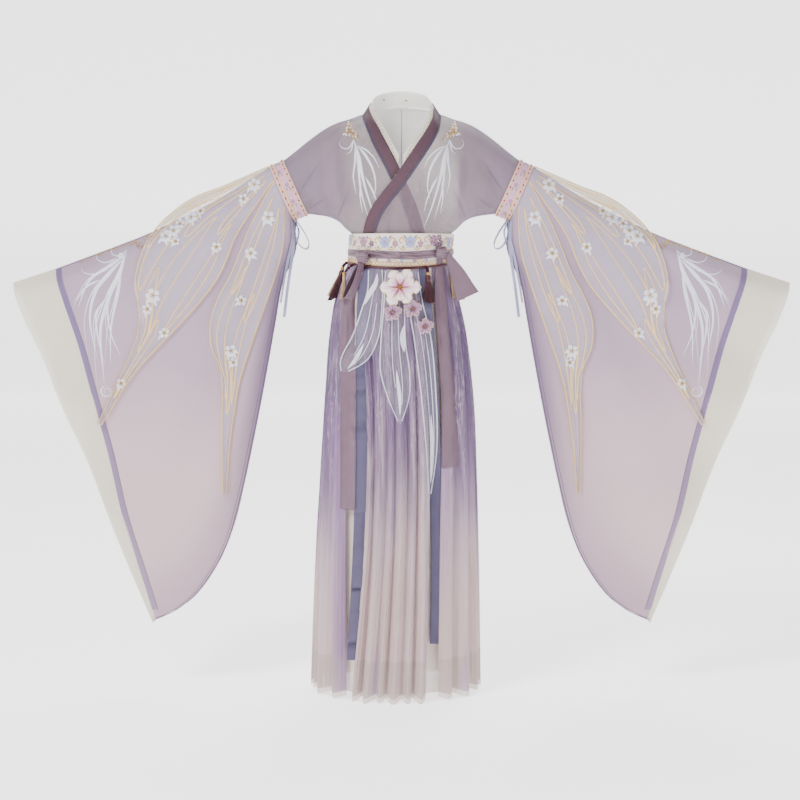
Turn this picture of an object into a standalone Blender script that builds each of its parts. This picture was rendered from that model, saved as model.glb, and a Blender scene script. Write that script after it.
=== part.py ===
"""Hezi skirt hanfu set, worn and filled out with no wearer: a crossed-collar jacket with
hanging sleeves, a wide embroidered waistband and a long layered skirt with two front slits.

Metres, +Z up. The front faces -Y and the wearer's left is +X. The origin is between the
shoulders, where the wearer holds the garment up.
"""
import math

import bmesh
import bpy
import numpy as np

# Driving dimensions of the set
ORGANZA = 0.0010
SHEER = 0.0012
CLOTH = 0.0015
BAND_CLOTH = 0.0020
BELT_CLOTH = 0.0022
SASH_CLOTH = 0.0014
SEAM_GAP = 0.0004
REST_GAP = 0.0007

COLLAR_WIDTH = 0.026
LACE_WIDTH = 0.013
BELT_TOP = -0.2803
BELT_BOTTOM = -0.346
BELT_FRONT_DIP = 0.0125
BELT_HALF_WIDTH = 0.1236
BELT_HALF_DEPTH = 0.1085
BODY_HALF_WIDTH = 0.1185
BODY_HALF_DEPTH = 0.0925
JACKET_TUCK = 0.006
OVERLAP_LIFT = 0.0060
ARMLET_WIDTH = 0.034
ARMLET_HALF_DEPTH = 0.046
HEM = -1.372
LINING_HEM = -1.278

# Where the front collar band ends on the shoulder (x, z), and the top of the back panels
BAND_END = np.array([0.0905, 0.0012])
BACK_NECK_TOP = 0.0253

# Ends of the armlet seam (x, z), the way up along it and the way out along the arm
ARMLET_TOP = np.array([0.2802, -0.1072])
ARMLET_FOOT = np.array([0.2238, -0.2329])
ARMLET_RISE = (ARMLET_TOP - ARMLET_FOOT) / np.linalg.norm(ARMLET_TOP - ARMLET_FOOT)
ARM_WAY = np.array([ARMLET_RISE[1], -ARMLET_RISE[0]])

# How finely the walls are cut into spans
NECK_SPANS = 11
SLEEVE_TOP_SPANS = 6
BACK_NECK_SPANS = 5
SLEEVE_SPANS = 11
WAIST_SPANS = 36


def table(columns, rows):
    """A short table: the column names in one string, then a row of numbers for each section."""
    values = np.array(rows, float)
    return {name: values[:, place] for place, name in enumerate(columns.split())}


# Top line of shoulders and sleeves, from the neck out to the cuff corner
TOP_LINE = table("x z", [
    (0.0784, 0.0177), (0.0905, 0.0012), (0.1295, -0.0105), (0.1676, -0.0246), (0.1913, -0.0388),
    (0.2296, -0.0670), (0.2802, -0.1072), (0.3206, -0.1266), (0.4538, -0.2069),
    (0.5948, -0.2756), (0.6857, -0.3112), (0.8234, -0.3620), (0.9279, -0.3961)])

# Underarm curve, from the top of the waistband to the armlet band
UNDERARM = table("x z", [
    (0.1185, -0.2863), (0.1192, -0.2792), (0.1346, -0.2661), (0.1488, -0.2519), (0.1702, -0.2412),
    (0.1940, -0.2365), (0.2238, -0.2329)])

# Lower edge of the hanging sleeve, from the armlet band down to its tip
SLEEVE_LOWER = table("x z", [
    (0.2541, -0.2480), (0.2418, -0.2620), (0.2412, -0.2850), (0.2515, -0.3183), (0.2720, -0.3563),
    (0.2866, -0.4135), (0.3125, -0.5569), (0.3497, -0.7493), (0.3931, -0.9431),
    (0.4253, -1.0406), (0.4866, -1.1384), (0.5440, -1.1874), (0.5960, -1.2120)])

# Purple stripe and open cuff edge, both from the top line down to the sleeve's tip
STRIPE = table("x z", [
    (0.8234, -0.3620), (0.7463, -0.6289), (0.7032, -0.8117), (0.6693, -0.9546), (0.5960, -1.2120)])
CUFF_EDGE = table("x z", [
    (0.9279, -0.3961), (0.8840, -0.5090), (0.8348, -0.6289), (0.7883, -0.7493),
    (0.7254, -0.8984), (0.6742, -1.0406), (0.6366, -1.1384), (0.6030, -1.2205)])

# Inner edge of each front collar band, from the waistband up to the shoulder
LEFT_NECK = table("x z", [
    (-0.0925, -0.2863), (-0.0795, -0.2390), (-0.0629, -0.2095), (-0.0419, -0.1810),
    (-0.0211, -0.1562), (-0.0027, -0.1298), (0.0167, -0.1019), (0.0404, -0.0661),
    (0.0624, -0.0315), (0.0740, -0.0050), (0.0784, 0.0177)])
RIGHT_NECK = table("x z", [
    (-0.0560, -0.2863), (-0.0351, -0.2163), (-0.0102, -0.1604), (0.0101, -0.1180),
    (0.0339, -0.0725), (0.0606, -0.0211), (0.0720, -0.0010), (0.0784, 0.0177)])

# Depth of the body form at mid height of the chest, from the middle out to the armlet
CHEST = table("x front back", [
    (0.000, 0.108, 0.094), (0.080, 0.106, 0.094), (0.120, 0.094, 0.086), (0.170, 0.074, 0.070),
    (0.230, 0.052, 0.050), (0.260, 0.046, 0.046)])

# Sections of the outer skirt: half width and middle in X, half depth in Y, fold height
SKIRT = table("z half_width half_depth middle fold", [
    (-0.3460, 0.1238, 0.1088, -0.0030, 0.0012), (-0.4016, 0.1396, 0.1170, -0.0110, 0.0030),
    (-0.4612, 0.1560, 0.1260, -0.0108, 0.0050), (-0.5569, 0.1680, 0.1390, -0.0072, 0.0075),
    (-0.6770, 0.1790, 0.1480, -0.0060, 0.0090), (-0.9431, 0.1925, 0.1600, -0.0084, 0.0110),
    (-1.2365, 0.2030, 0.1690, -0.0133, 0.0130), (-1.3844, 0.2065, 0.1720, -0.0133, 0.0140)])

# Edges of the two front slits, as degrees round from the middle of the front
SLITS = table("z right_outer right_inner left_inner left_outer", [
    (-0.346, -47.0, -33.0, 25.0, 37.0), (-0.500, -50.0, -31.5, 24.0, 38.5),
    (-0.677, -48.0, -27.0, 23.5, 36.5), (-0.943, -44.0, -25.0, 23.5, 34.0),
    (-1.237, -39.5, -30.0, 22.5, 32.5), (-1.384, -38.0, -33.5, 22.0, 32.0)])


def smooth(places, values, at):
    """A smooth curve through the values that never swings past them (monotone cubic)."""
    places = np.asarray(places, float)
    values = np.asarray(values, float)
    at = np.clip(np.asarray(at, float), min(places[0], places[-1]), max(places[0], places[-1]))
    if places[0] > places[-1]:
        places = places[::-1]
        values = values[::-1]
    step = np.diff(places)
    slope = np.diff(values) / step
    tangent = np.concatenate([[slope[0]], (slope[:-1] + slope[1:]) / 2, [slope[-1]]])
    for place in range(len(slope)):
        if slope[place] == 0.0:
            tangent[place] = 0.0
            tangent[place + 1] = 0.0
            continue
        for end in (place, place + 1):
            ratio = tangent[end] / slope[place]
            tangent[end] = slope[place] * min(max(ratio, 0.0), 3.0)
    span = np.clip(np.searchsorted(places, at, side="right") - 1, 0, len(slope) - 1)
    t = (at - places[span]) / step[span]
    a = values[span]
    b = values[span + 1]
    return (a * (1 + 2 * t) * (1 - t) ** 2 + b * t * t * (3 - 2 * t)
            + step[span] * (tangent[span] * t * (1 - t) ** 2 - tangent[span + 1] * t * t * (1 - t)))


def ease(value, start, end):
    """0 before start, 1 after end, smooth between."""
    t = np.clip((np.asarray(value, float) - start) / (end - start), 0.0, 1.0)
    return t * t * (3 - 2 * t)


def curve(points, shares):
    """Points on a smooth curve through the given points, at shares of its length."""
    points = np.array(points, float)
    steps = np.linalg.norm(np.diff(points, axis=0), axis=1)
    length = np.concatenate([[0.0], np.cumsum(steps)])
    previous = np.vstack([2 * points[0] - points[1], points[:-1]])
    following = np.vstack([points[1:], 2 * points[-1] - points[-2]])
    before = np.concatenate([[steps[0]], steps])
    after = np.concatenate([steps, [steps[-1]]])
    tangent = (following - previous) / (before + after)[:, None]
    at = np.asarray(shares, float) * length[-1]
    span = np.clip(np.searchsorted(length, at, side="right") - 1, 0, len(steps) - 1)
    t = ((at - length[span]) / steps[span])[:, None]
    reach = steps[span][:, None]
    return (points[span] * (1 + 2 * t) * (1 - t) ** 2 + points[span + 1] * t * t * (3 - 2 * t)
            + reach * (tangent[span] * t * (1 - t) ** 2 - tangent[span + 1] * t * t * (1 - t)))


def outline(line):
    """The x and z columns of a table as one list of points."""
    return np.column_stack([line["x"], line["z"]])


def srgb(red, green, blue):
    """A colour seen as 0 to 255, as the linear values that a material takes."""
    return [((c / 255 + 0.055) / 1.055) ** 2.4 for c in (red, green, blue)] + [1.0]


def finish(name, colour, roughness=0.8, metallic=0.0):
    """A plain material of one colour."""
    material = bpy.data.materials.new(name)
    material.use_nodes = True
    shader = material.node_tree.nodes["Principled BSDF"]
    shader.inputs["Base Color"].default_value = srgb(*colour)
    shader.inputs["Roughness"].default_value = roughness
    shader.inputs["Metallic"].default_value = metallic
    return material


def keep(name, points, faces, material):
    """Make one object from points and faces, shaded smooth."""
    mesh = bpy.data.meshes.new(name)
    mesh.from_pydata([tuple(p) for p in points], [], faces)
    mesh.materials.append(material)
    mesh.shade_smooth()
    piece = bpy.data.objects.new(name, mesh)
    bpy.context.scene.collection.objects.link(piece)
    return piece


def grid_normals(face, loop):
    """Unit normals of a grid of points, [row][column]."""
    if loop:
        across = np.roll(face, -1, axis=1) - np.roll(face, 1, axis=1)
    else:
        across = np.gradient(face, axis=1)
    along = np.gradient(face, axis=0)
    normal = np.cross(across, along)
    return normal / np.maximum(np.linalg.norm(normal, axis=2, keepdims=True), 1e-12)


def outward(face, outside, loop=False):
    """Normals that point to the outside: a direction, or away from the Z line through a point."""
    normal = grid_normals(face, loop)
    if outside == "round":
        middle = face.reshape(-1, 3).mean(axis=0)
        way = face - middle
        way[:, :, 2] = 0.0
    else:
        way = np.broadcast_to(np.array(outside, float), face.shape)
    if (normal * way).sum() < 0:
        return -normal
    return normal


FRONT = (0.0, -1.0, 0.0)
BACK = (0.0, 1.0, 0.0)


def shorter_splits(face, loop):
    """True for each cell that is split from its first corner, the shorter way across."""
    wrapped = np.concatenate([face, face[:, :1]], axis=1) if loop else face
    first = np.linalg.norm(wrapped[1:, 1:] - wrapped[:-1, :-1], axis=2)
    second = np.linalg.norm(wrapped[1:, :-1] - wrapped[:-1, 1:], axis=2)
    return first <= second + 1e-6


def cloth(name, face, thickness, material, outside, loop=False, lift=0.0, normal=None,
          splits=None, level=None):
    """One wall of cloth. The face is the grid of its outer points before they are lifted.

    Points marked in level lie on the plane between front and back, and stay on their side of it.
    """
    face = np.array(face, float)
    if normal is None:
        normal = outward(face, outside, loop)
    if level is not None:
        normal = normal.copy()
        normal[level, 1] = 0.0
        normal[level] /= np.linalg.norm(normal[level], axis=1)[:, None]
    if splits is None:
        splits = shorter_splits(face, loop)
    outer = face + normal * lift
    inner = outer - normal * thickness
    rows, columns = face.shape[:2]
    points = np.concatenate([outer.reshape(-1, 3), inner.reshape(-1, 3)])
    back = rows * columns
    cells = np.cross(outer[:-1, 1:] - outer[:-1, :-1], outer[1:, :-1] - outer[:-1, :-1])
    turn = (cells * normal[:-1, :-1]).sum() < 0
    faces = []

    def add(a, b, c):
        faces.append((a, c, b) if turn else (a, b, c))

    def index(row, column):
        return row * columns + column % columns

    spans = columns if loop else columns - 1
    for row in range(rows - 1):
        for column in range(spans):
            a = index(row, column)
            b = index(row, column + 1)
            c = index(row + 1, column + 1)
            d = index(row + 1, column)
            if splits[row, column]:
                halves = ((a, b, c), (a, c, d))
            else:
                halves = ((a, b, d), (b, c, d))
            for one, two, three in halves:
                add(one, two, three)
                add(back + one, back + three, back + two)

    def rim(a, b, ahead):
        """Close the wall's edge, always split from the outer point that comes first."""
        if ahead:
            add(a, back + b, b)
            add(a, back + a, back + b)
        else:
            add(a, back + a, b)
            add(b, back + a, back + b)

    for column in range(spans):
        rim(index(0, column), index(0, column + 1), True)
        rim(index(rows - 1, column + 1), index(rows - 1, column), False)
    if not loop:
        for row in range(rows - 1):
            rim(index(row + 1, 0), index(row, 0), False)
            rim(index(row, columns - 1), index(row + 1, columns - 1), True)
    keep(name, points, faces, material)
    return {"face": face, "normal": normal, "outer": outer, "inner": inner, "splits": splits}


def triangles_of(surfaces):
    """The corners of every triangle of some cloths, each a grid of points with its splits."""
    corners = []
    for grid, splits in surfaces:
        a = grid[:-1, :-1]
        b = grid[:-1, 1:]
        c = grid[1:, 1:]
        d = grid[1:, :-1]
        first = np.where(splits[..., None], c, d)
        second = np.where(splits[..., None], a, b)
        corners.append(np.stack([a, b, first], axis=2).reshape(-1, 3, 3))
        corners.append(np.stack([second, c, d], axis=2).reshape(-1, 3, 3))
    return np.concatenate(corners)


def height_over(corners, x, z):
    """The y of what stands farthest out at each x and z, or nan where nothing does."""
    one = corners[:, 0]
    two = corners[:, 1] - one
    three = corners[:, 2] - one
    area = two[:, 0] * three[:, 2] - three[:, 0] * two[:, 2]
    area = np.where(np.abs(area) < 1e-10, np.inf, area)
    dx = np.reshape(x, (-1, 1)) - one[:, 0]
    dz = np.reshape(z, (-1, 1)) - one[:, 2]
    u = (dx * three[:, 2] - three[:, 0] * dz) / area
    v = (two[:, 0] * dz - dx * two[:, 2]) / area
    y = one[:, 1] + u * two[:, 1] + v * three[:, 1]
    inside = (u >= -1e-6) & (v >= -1e-6) & (u + v <= 1 + 1e-6) & np.isfinite(area)
    reach = np.where(inside, np.abs(y), -1.0)
    best = reach.argmax(axis=1)
    rows = np.arange(len(best))
    return np.where(reach[rows, best] >= 0, y[rows, best], np.nan).reshape(np.shape(x))


def rest_on(grid, corners, face, clear):
    """Move a grid's points in Y until its whole inner side stands clear of the cloth under it."""
    grid = np.array(grid, float)
    low = grid.reshape(-1, 3).min(axis=0) - 0.02
    high = grid.reshape(-1, 3).max(axis=0) + 0.02
    near = ((corners.max(axis=1) >= low) & (corners.min(axis=1) <= high))[:, (0, 2)].all(axis=1)
    corners = corners[near]
    share = np.linspace(0, 1, 9)
    s, t = [part.reshape(-1, 1, 1) for part in np.meshgrid(share, share)]
    weights = ((1 - s) * (1 - t), s * (1 - t), (1 - s) * t, s * t)
    cells = ((slice(0, -1), slice(0, -1)), (slice(1, None), slice(0, -1)),
             (slice(0, -1), slice(1, None)), (slice(1, None), slice(1, None)))
    for _ in range(40):
        slant = np.cross(grid[1:, 1:] - grid[:-1, :-1], grid[1:, :-1] - grid[:-1, 1:])
        level = np.abs(slant[:, :, 1]) / np.linalg.norm(slant, axis=2)
        x, y, z = [sum(weight * grid[rows, columns, axis] for weight, (rows, columns)
                       in zip(weights, cells)) for axis in range(3)]
        short = clear / np.maximum(level, 0.3) - face * (y - height_over(corners, x, z))
        short = np.where(np.isnan(short), 0.0, np.clip(short, 0.0, None))
        if short.max() < 1e-5:
            break
        for weight, (rows, columns) in zip(weights, cells):
            push = (short * weight).max(axis=0)
            grid[rows, columns, 1] = face * np.maximum(face * grid[rows, columns, 1],
                                                       face * grid[rows, columns, 1] + push)
    return grid


def place(points, side):
    """The same points on the wearer's left (+1) or right (-1)."""
    points = np.array(points, float)
    points[..., 0] *= side
    return points


# Jacket body

def belt_depth(x):
    """Half depth of the body form at the waist."""
    return BODY_HALF_DEPTH * np.sqrt(np.clip(1 - (np.abs(x) / (BODY_HALF_WIDTH + 0.0004)) ** 2, 0, 1))


def chest_depth(x, z, side):
    """How far the front or back of the body form stands from the plane of the shoulders."""
    x = np.abs(np.asarray(x, float))
    top = smooth(TOP_LINE["x"], TOP_LINE["z"], x)
    if side == "back":
        rise = np.clip(1 - (x / BAND_END[0]) ** 2, 0, 1)
        top = np.where(x < BAND_END[0], BAND_END[1] + 0.0885 * rise, top)
    bottom = smooth(UNDERARM["x"][1:], UNDERARM["z"][1:], x)
    half = (top - bottom) / 2
    level = np.clip((z - (top + bottom) / 2) / half, -1, 1)
    deepest = smooth(CHEST["x"], CHEST[side], x)
    power = np.where(level < 0, 1.0 - 0.46 * ease(x, 0.085, 0.150), 0.64 - 0.10 * ease(x, 0.10, 0.20))
    waist = np.where(level < 0, belt_depth(x) / deepest, 0.0)
    return deepest * (waist + (1 - waist) * (1 - level ** 2) ** power)


def armlet_depth(share):
    """Half depth of the upper sleeve where it meets the armlet, by share of the way down."""
    return ARMLET_HALF_DEPTH * np.sqrt(np.clip(1 - (2 * np.asarray(share) - 1) ** 2, 0, 1))


def shoulder_points(start, count):
    """Points along the top line from x = start out to the armlet."""
    reach = np.linspace(start, ARMLET_TOP[0], count)
    return np.column_stack([reach, smooth(TOP_LINE["x"], TOP_LINE["z"], reach)])


# Creases that the arm drags out of the armpit: start, end, depth and half width
DRAG_LINES = table("x0 z0 x1 z1 depth width", [
    (0.236, -0.180, 0.190, -0.112, 0.0035, 0.011), (0.216, -0.222, 0.176, -0.196, 0.0030, 0.009),
    (0.150, -0.243, 0.118, -0.175, 0.0025, 0.010)])


def drag(x, z):
    """Depth of the drag lines at a point of the upper sleeve."""
    total = np.zeros_like(x)
    for x0, z0, x1, z1, depth, width in zip(*DRAG_LINES.values()):
        way = np.array([x1 - x0, z1 - z0])
        length = np.linalg.norm(way)
        way = way / length
        along = (x - x0) * way[0] + (z - z0) * way[1]
        off = (x - x0) * way[1] - (z - z0) * way[0]
        fade = ease(along, -0.02, 0.015) * (1 - ease(along, length - 0.02, length + 0.02))
        total += depth * fade * np.exp(-(off / width) ** 2)
    return total


def front_depth(flat, lifted):
    """How far the points of a jacket front stand forward, with the lift over the other front."""
    x = flat[:, :, 0]
    z = flat[:, :, 1]
    depth = chest_depth(x, z, "front")
    if lifted:
        depth = depth + OVERLAP_LIFT * (1 - ease(x, 0.070, 0.115)) * (1 - ease(z, -0.100, -0.045))
    return depth


def neck_strip(neck):
    """Inner edge, middle and outer edge of a front collar band, flat in x and z."""
    edge = curve(outline(neck), np.linspace(0, 1, NECK_SPANS + 1) ** 0.92)
    way = np.gradient(edge, axis=0)
    way = way / np.linalg.norm(way, axis=1)[:, None]
    inward = np.column_stack([way[:, 1], -way[:, 0]]) * COLLAR_WIDTH
    inward[0] = (COLLAR_WIDTH / way[0, 1], 0.0)
    turn = ease(np.linspace(0, 1, NECK_SPANS + 1), 0.72, 1.0)[:, None]
    inward = inward * (1 - turn) + (BAND_END - edge[-1]) * turn
    return [edge + inward * share for share in (0.0, 0.5, 1.0)], inward


def seam_shares(flat):
    """How far down the armlet seam each row ends, from 0 at its top."""
    return np.linalg.norm(flat[:, -1] - ARMLET_TOP, axis=1) / np.linalg.norm(ARMLET_TOP - ARMLET_FOOT)


def front_panel(neck, lifted):
    """Grids of one jacket front and of its collar band, which ends at the panel's edge."""
    strip, inward = neck_strip(neck)
    gap = inward / np.linalg.norm(inward, axis=1)[:, None] * SEAM_GAP
    shoulder = shoulder_points(BAND_END[0], SLEEVE_TOP_SPANS + 1)
    top = np.vstack([strip[2] + gap, shoulder[1:]])
    under = curve(outline(UNDERARM)[1:], np.linspace(0, 1, len(top) - 1))
    low = np.vstack([outline(UNDERARM)[:1], under])
    flat = np.array([top * (1 - share) + low * share
                     for share in (0.0, 0.12, 0.28, 0.46, 0.63, 0.78, 0.90, 1.0)])
    x = flat[:, :, 0]
    z = flat[:, :, 1]
    seam = seam_shares(flat)
    out = ease(x, 0.12, 0.262)
    out[:, -1] = 1.0
    depth = front_depth(flat, lifted) * (1 - out) + armlet_depth(seam)[:, None] * out
    level = np.zeros(depth.shape, bool)
    level[0, NECK_SPANS:] = True
    level[-1, 1:] = True
    depth[level] = 0.0
    inside = (depth > 0.012) * (1 - ease(np.broadcast_to(seam[:, None], x.shape), 0.9, 1.0))
    depth = depth - drag(x, z) * inside
    panel = np.dstack([x, -depth - SEAM_GAP / 2, z])
    strip = np.array(strip)
    band = np.dstack([strip[:, :, 0], -front_depth(strip, lifted) - SEAM_GAP / 2, strip[:, :, 1]])
    return panel, level, band


def back_panel():
    """Grid of one jacket back, from the centre back seam out to the armlet."""
    reach = BAND_END[0]
    across = reach * np.sin(np.linspace(0, 1, BACK_NECK_SPANS + 1) * math.pi / 2)
    rise = BACK_NECK_TOP + (BAND_END[1] - BACK_NECK_TOP) * (across / reach) ** 2
    shoulder = shoulder_points(reach, SLEEVE_TOP_SPANS + 2)
    top = np.vstack([np.column_stack([across, rise]), shoulder[1:]])
    angle = np.linspace(0, 0.96, BACK_NECK_SPANS + 1) * math.pi / 2
    waist = np.column_stack([BODY_HALF_WIDTH * np.sin(angle),
                             np.full(BACK_NECK_SPANS + 1, BELT_TOP - JACKET_TUCK)])
    under = curve(outline(UNDERARM)[1:], np.linspace(0, 1, len(top) - BACK_NECK_SPANS - 1))
    low = np.vstack([waist, under])
    flat = np.array([top * (1 - share) + low * share
                     for share in (0.0, 0.10, 0.26, 0.46, 0.66, 0.85, 1.0)])
    x = flat[:, :, 0]
    z = flat[:, :, 1]
    seam = seam_shares(flat)
    out = ease(x, 0.12, 0.262)
    out[:, -1] = 1.0
    depth = chest_depth(x, z, "back") * (1 - out) + armlet_depth(seam)[:, None] * out
    level = np.zeros(depth.shape, bool)
    level[0, BACK_NECK_SPANS:] = True
    level[-1, BACK_NECK_SPANS + 1:] = True
    depth[level] = 0.0
    depth = depth - 0.6 * drag(x, z) * (depth > 0.012)
    x = x + np.where(np.arange(len(top)) == 0, SEAM_GAP / 2, 0.0)
    return np.dstack([x, depth + SEAM_GAP / 2, z]), level


def build_jacket():
    mauve = finish("mauve_organza", (172, 158, 170), 0.75)
    plum = finish("plum_band", (116, 92, 105), 0.7)
    cream = finish("cream_lace", (222, 220, 214), 0.8)
    backs = {}
    for word, side, neck, lifted in (("left", 1, LEFT_NECK, True), ("right", -1, RIGHT_NECK, False)):
        panel, level, band = front_panel(neck, lifted)
        front = cloth("jacket_front_" + word, place(panel, side), CLOTH, mauve, FRONT, level=level)
        end = np.zeros(band.shape[:2], bool)
        end[:, -1] = True
        band = place(band, side)
        normal = outward(band, FRONT)
        normal[2] = front["normal"][0, :NECK_SPANS + 1]
        made = cloth("collar_" + word, band, BAND_CLOTH, plum, FRONT, lift=0.0003, normal=normal, level=end)
        # The lace starts under the band and stands past its edge, into the neck opening
        beyond = made["inner"][0] - made["inner"][1]
        beyond = beyond / np.linalg.norm(beyond, axis=1)[:, None]
        lace = [made["inner"][1], made["inner"][0], made["inner"][0] + beyond * LACE_WIDTH]
        normal = np.array([made["normal"][1], made["normal"][0], made["normal"][0]])
        splits = np.vstack([~made["splits"][0], made["splits"][0]])
        cloth("lace_" + word, lace, SHEER, cream, FRONT, lift=-SEAM_GAP, normal=normal,
              splits=splits, level=end)
        panel, level = back_panel()
        backs[word] = cloth("jacket_back_" + word, place(panel, side), CLOTH, mauve, BACK, level=level)
    build_back_neck(backs, plum, cream)


def build_back_neck(backs, plum, cream):
    """The collar band round the back of the neck, and the cream cloth inside it."""
    turn = np.linspace(-1, 1, 13) * math.pi / 2
    # Lower seam, upper edge of the plum band, and upper edge of the cream facing
    seam = neck_ring(turn, BAND_END[0] - 0.0004, 0.0672, BAND_END[1] + 0.0012, BACK_NECK_TOP + 0.0012)
    upper = neck_ring(turn, 0.0784, 0.0610, 0.0177, 0.0510)
    facing = neck_ring(turn, 0.0680, 0.0565, 0.0318, 0.0612)
    rows = np.array([seam, (seam + upper) / 2, upper])
    end = np.zeros(rows.shape[:2], bool)
    end[:, (0, -1)] = True
    band = cloth("collar_back", rows, BAND_CLOTH, plum, BACK, lift=0.0003, level=end)
    rows = np.concatenate([band["inner"], facing[None]])
    normal = np.concatenate([band["normal"], band["normal"][2:]])
    splits = np.vstack([band["splits"], band["splits"][1:]])
    end = np.vstack([end, end[:1]])
    cloth("inner_collar", rows, SHEER, cream, BACK, lift=-SEAM_GAP, normal=normal, splits=splits, level=end)
    rows = slice(0, 7)
    right = slice(5, 0, -1)
    left = slice(0, 6)
    inner = np.concatenate([backs["right"]["inner"][rows, right], backs["left"]["inner"][rows, left]], axis=1)
    normal = np.concatenate([backs["right"]["normal"][rows, right],
                             backs["left"]["normal"][rows, left]], axis=1)
    splits = np.concatenate([~backs["right"]["splits"][rows, 4::-1],
                             backs["left"]["splits"][rows, 0:5]], axis=1)
    inner[:, 5, 0] = 0.0
    cloth("inner_back", inner, SHEER, cream, BACK, lift=-SEAM_GAP, normal=normal, splits=splits)


def neck_ring(turn, half_width, depth, side_height, back_height):
    """A curve round the back of the neck from shoulder to shoulder."""
    share = np.cos(turn)
    return np.column_stack([half_width * np.sin(turn), SEAM_GAP + depth * share,
                            side_height + (back_height - side_height) * share ** 0.9])


# Sleeves

SLEEVE_ROWS = (0.0, 0.04, 0.115, 0.22, 0.36, 0.53, 0.71, 0.87, 1.0)

# Folds that fall from the armlet: degrees below level, height, half width in degrees
SLEEVE_FOLDS = table("angle height width", [
    (31.0, 0.0060, 4.0), (39.5, -0.0090, 4.6), (48.0, 0.0120, 4.2), (56.5, -0.0100, 3.8),
    (63.5, 0.0110, 3.4), (70.0, -0.0080, 3.0), (75.5, 0.0060, 2.6)])


def sleeve_wave(x, z):
    """How far the folds carry both layers of a sleeve to the front (+) or back (-)."""
    reach = np.hypot(x - 0.235, z + 0.085)
    angle = np.degrees(np.arctan2(-(z + 0.085), x - 0.235))
    total = np.zeros_like(x)
    for middle, height, width in zip(*SLEEVE_FOLDS.values()):
        total += height * np.exp(-((angle - middle) / width) ** 2)
    return total * ease(reach, 0.14, 0.62)


def sleeve_depth(across, down, length):
    """Half depth of the hollow sleeve. The arm rounds its top, and its lower part hangs flat."""
    radius = 0.046 - 0.010 * ease(across, 0.3, 1.1)
    run = down * length
    rounded = np.sqrt(1 - (1 - np.clip(run / (1.7 * radius), 0, 1)) ** 2)
    fall = 0.30 + 0.70 * np.exp(-(run / 0.27) ** 2)
    closing = np.sqrt(np.clip(1 - down ** 5, 0, 1))
    hanging = radius * rounded * fall * closing
    root = ease(across, 0.0, 0.22)
    return armlet_depth(down) * (1 - root) + hanging * root


def sleeve_grids():
    """Flat x and z, half depth and fold of the sleeve and of its cuff border."""
    across = np.linspace(0, 1, SLEEVE_SPANS + 1) ** 1.1
    down = np.array(SLEEVE_ROWS)
    root_top = ARMLET_TOP + ARM_WAY * (ARMLET_WIDTH + SEAM_GAP)
    root_foot = ARMLET_FOOT + ARM_WAY * (ARMLET_WIDTH + SEAM_GAP)
    line = outline(TOP_LINE)
    line = np.vstack([root_top, line[8:-1]])
    top = curve(line, across)
    lower = outline(SLEEVE_LOWER)
    lower[0] = root_foot
    low = curve(lower, across)
    stripe = curve(outline(STRIPE), down)
    edge = curve(outline(CUFF_EDGE), down)
    flat = top[None] * (1 - down)[:, None, None] + low[None] * down[:, None, None]
    bend = stripe - (stripe[0] * (1 - down)[:, None] + stripe[-1] * down[:, None])
    flat = flat + (across ** 2)[None, :, None] * bend[:, None, :]
    length = np.linalg.norm(top - low, axis=1)
    depth = sleeve_depth(across[None, :], down[:, None], length[None, :])
    gap = np.array([SEAM_GAP, 0.0])
    cuff_across = np.array([0.0, 0.5, 1.0])
    cuff = (stripe + gap)[:, None] * (1 - cuff_across)[None, :, None] + edge[:, None] * cuff_across[None, :, None]
    cuff_depth = sleeve_depth(1 + 0.12 * cuff_across[None, :], down[:, None], length[-1])
    return (flat, depth), (cuff, cuff_depth)


def on_sleeve(flat, depth, face):
    """Points of the front (-1) or back (+1) layer of the left sleeve."""
    x = flat[:, :, 0]
    z = flat[:, :, 1]
    wave = sleeve_wave(x, z)
    # The two layers keep a small gap where they come together at top and lower edge
    apart = np.maximum(depth, SEAM_GAP / 2)
    return np.dstack([x, face * apart - wave, z])


def build_sleeves():
    mauve = finish("sleeve_organza", (200, 190, 198), 0.75)
    border = finish("cuff_border", (217, 216, 212), 0.8)
    (flat, depth), (cuff, cuff_depth) = sleeve_grids()
    layers = {}
    for word, side in (("left", 1), ("right", -1)):
        for name, face, outside in (("front", -1, FRONT), ("back", 1, BACK)):
            grid = place(on_sleeve(flat, depth, face), side)
            level = np.zeros(grid.shape[:2], bool)
            level[(0, -1), :] = True
            piece = cloth("sleeve_" + name + "_" + word, grid, SHEER, mauve, outside, level=level)
            layers[name, word] = (piece["outer"], piece["splits"])
            grid = place(on_sleeve(cuff, cuff_depth, face), side)
            normal = outward(grid, outside)
            normal[:, 0] = piece["normal"][:, -1]
            level = np.zeros(grid.shape[:2], bool)
            level[(0, -1), :] = True
            cloth("cuff_" + name + "_" + word, grid, SHEER, border, outside, normal=normal, level=level)
    return layers


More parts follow.
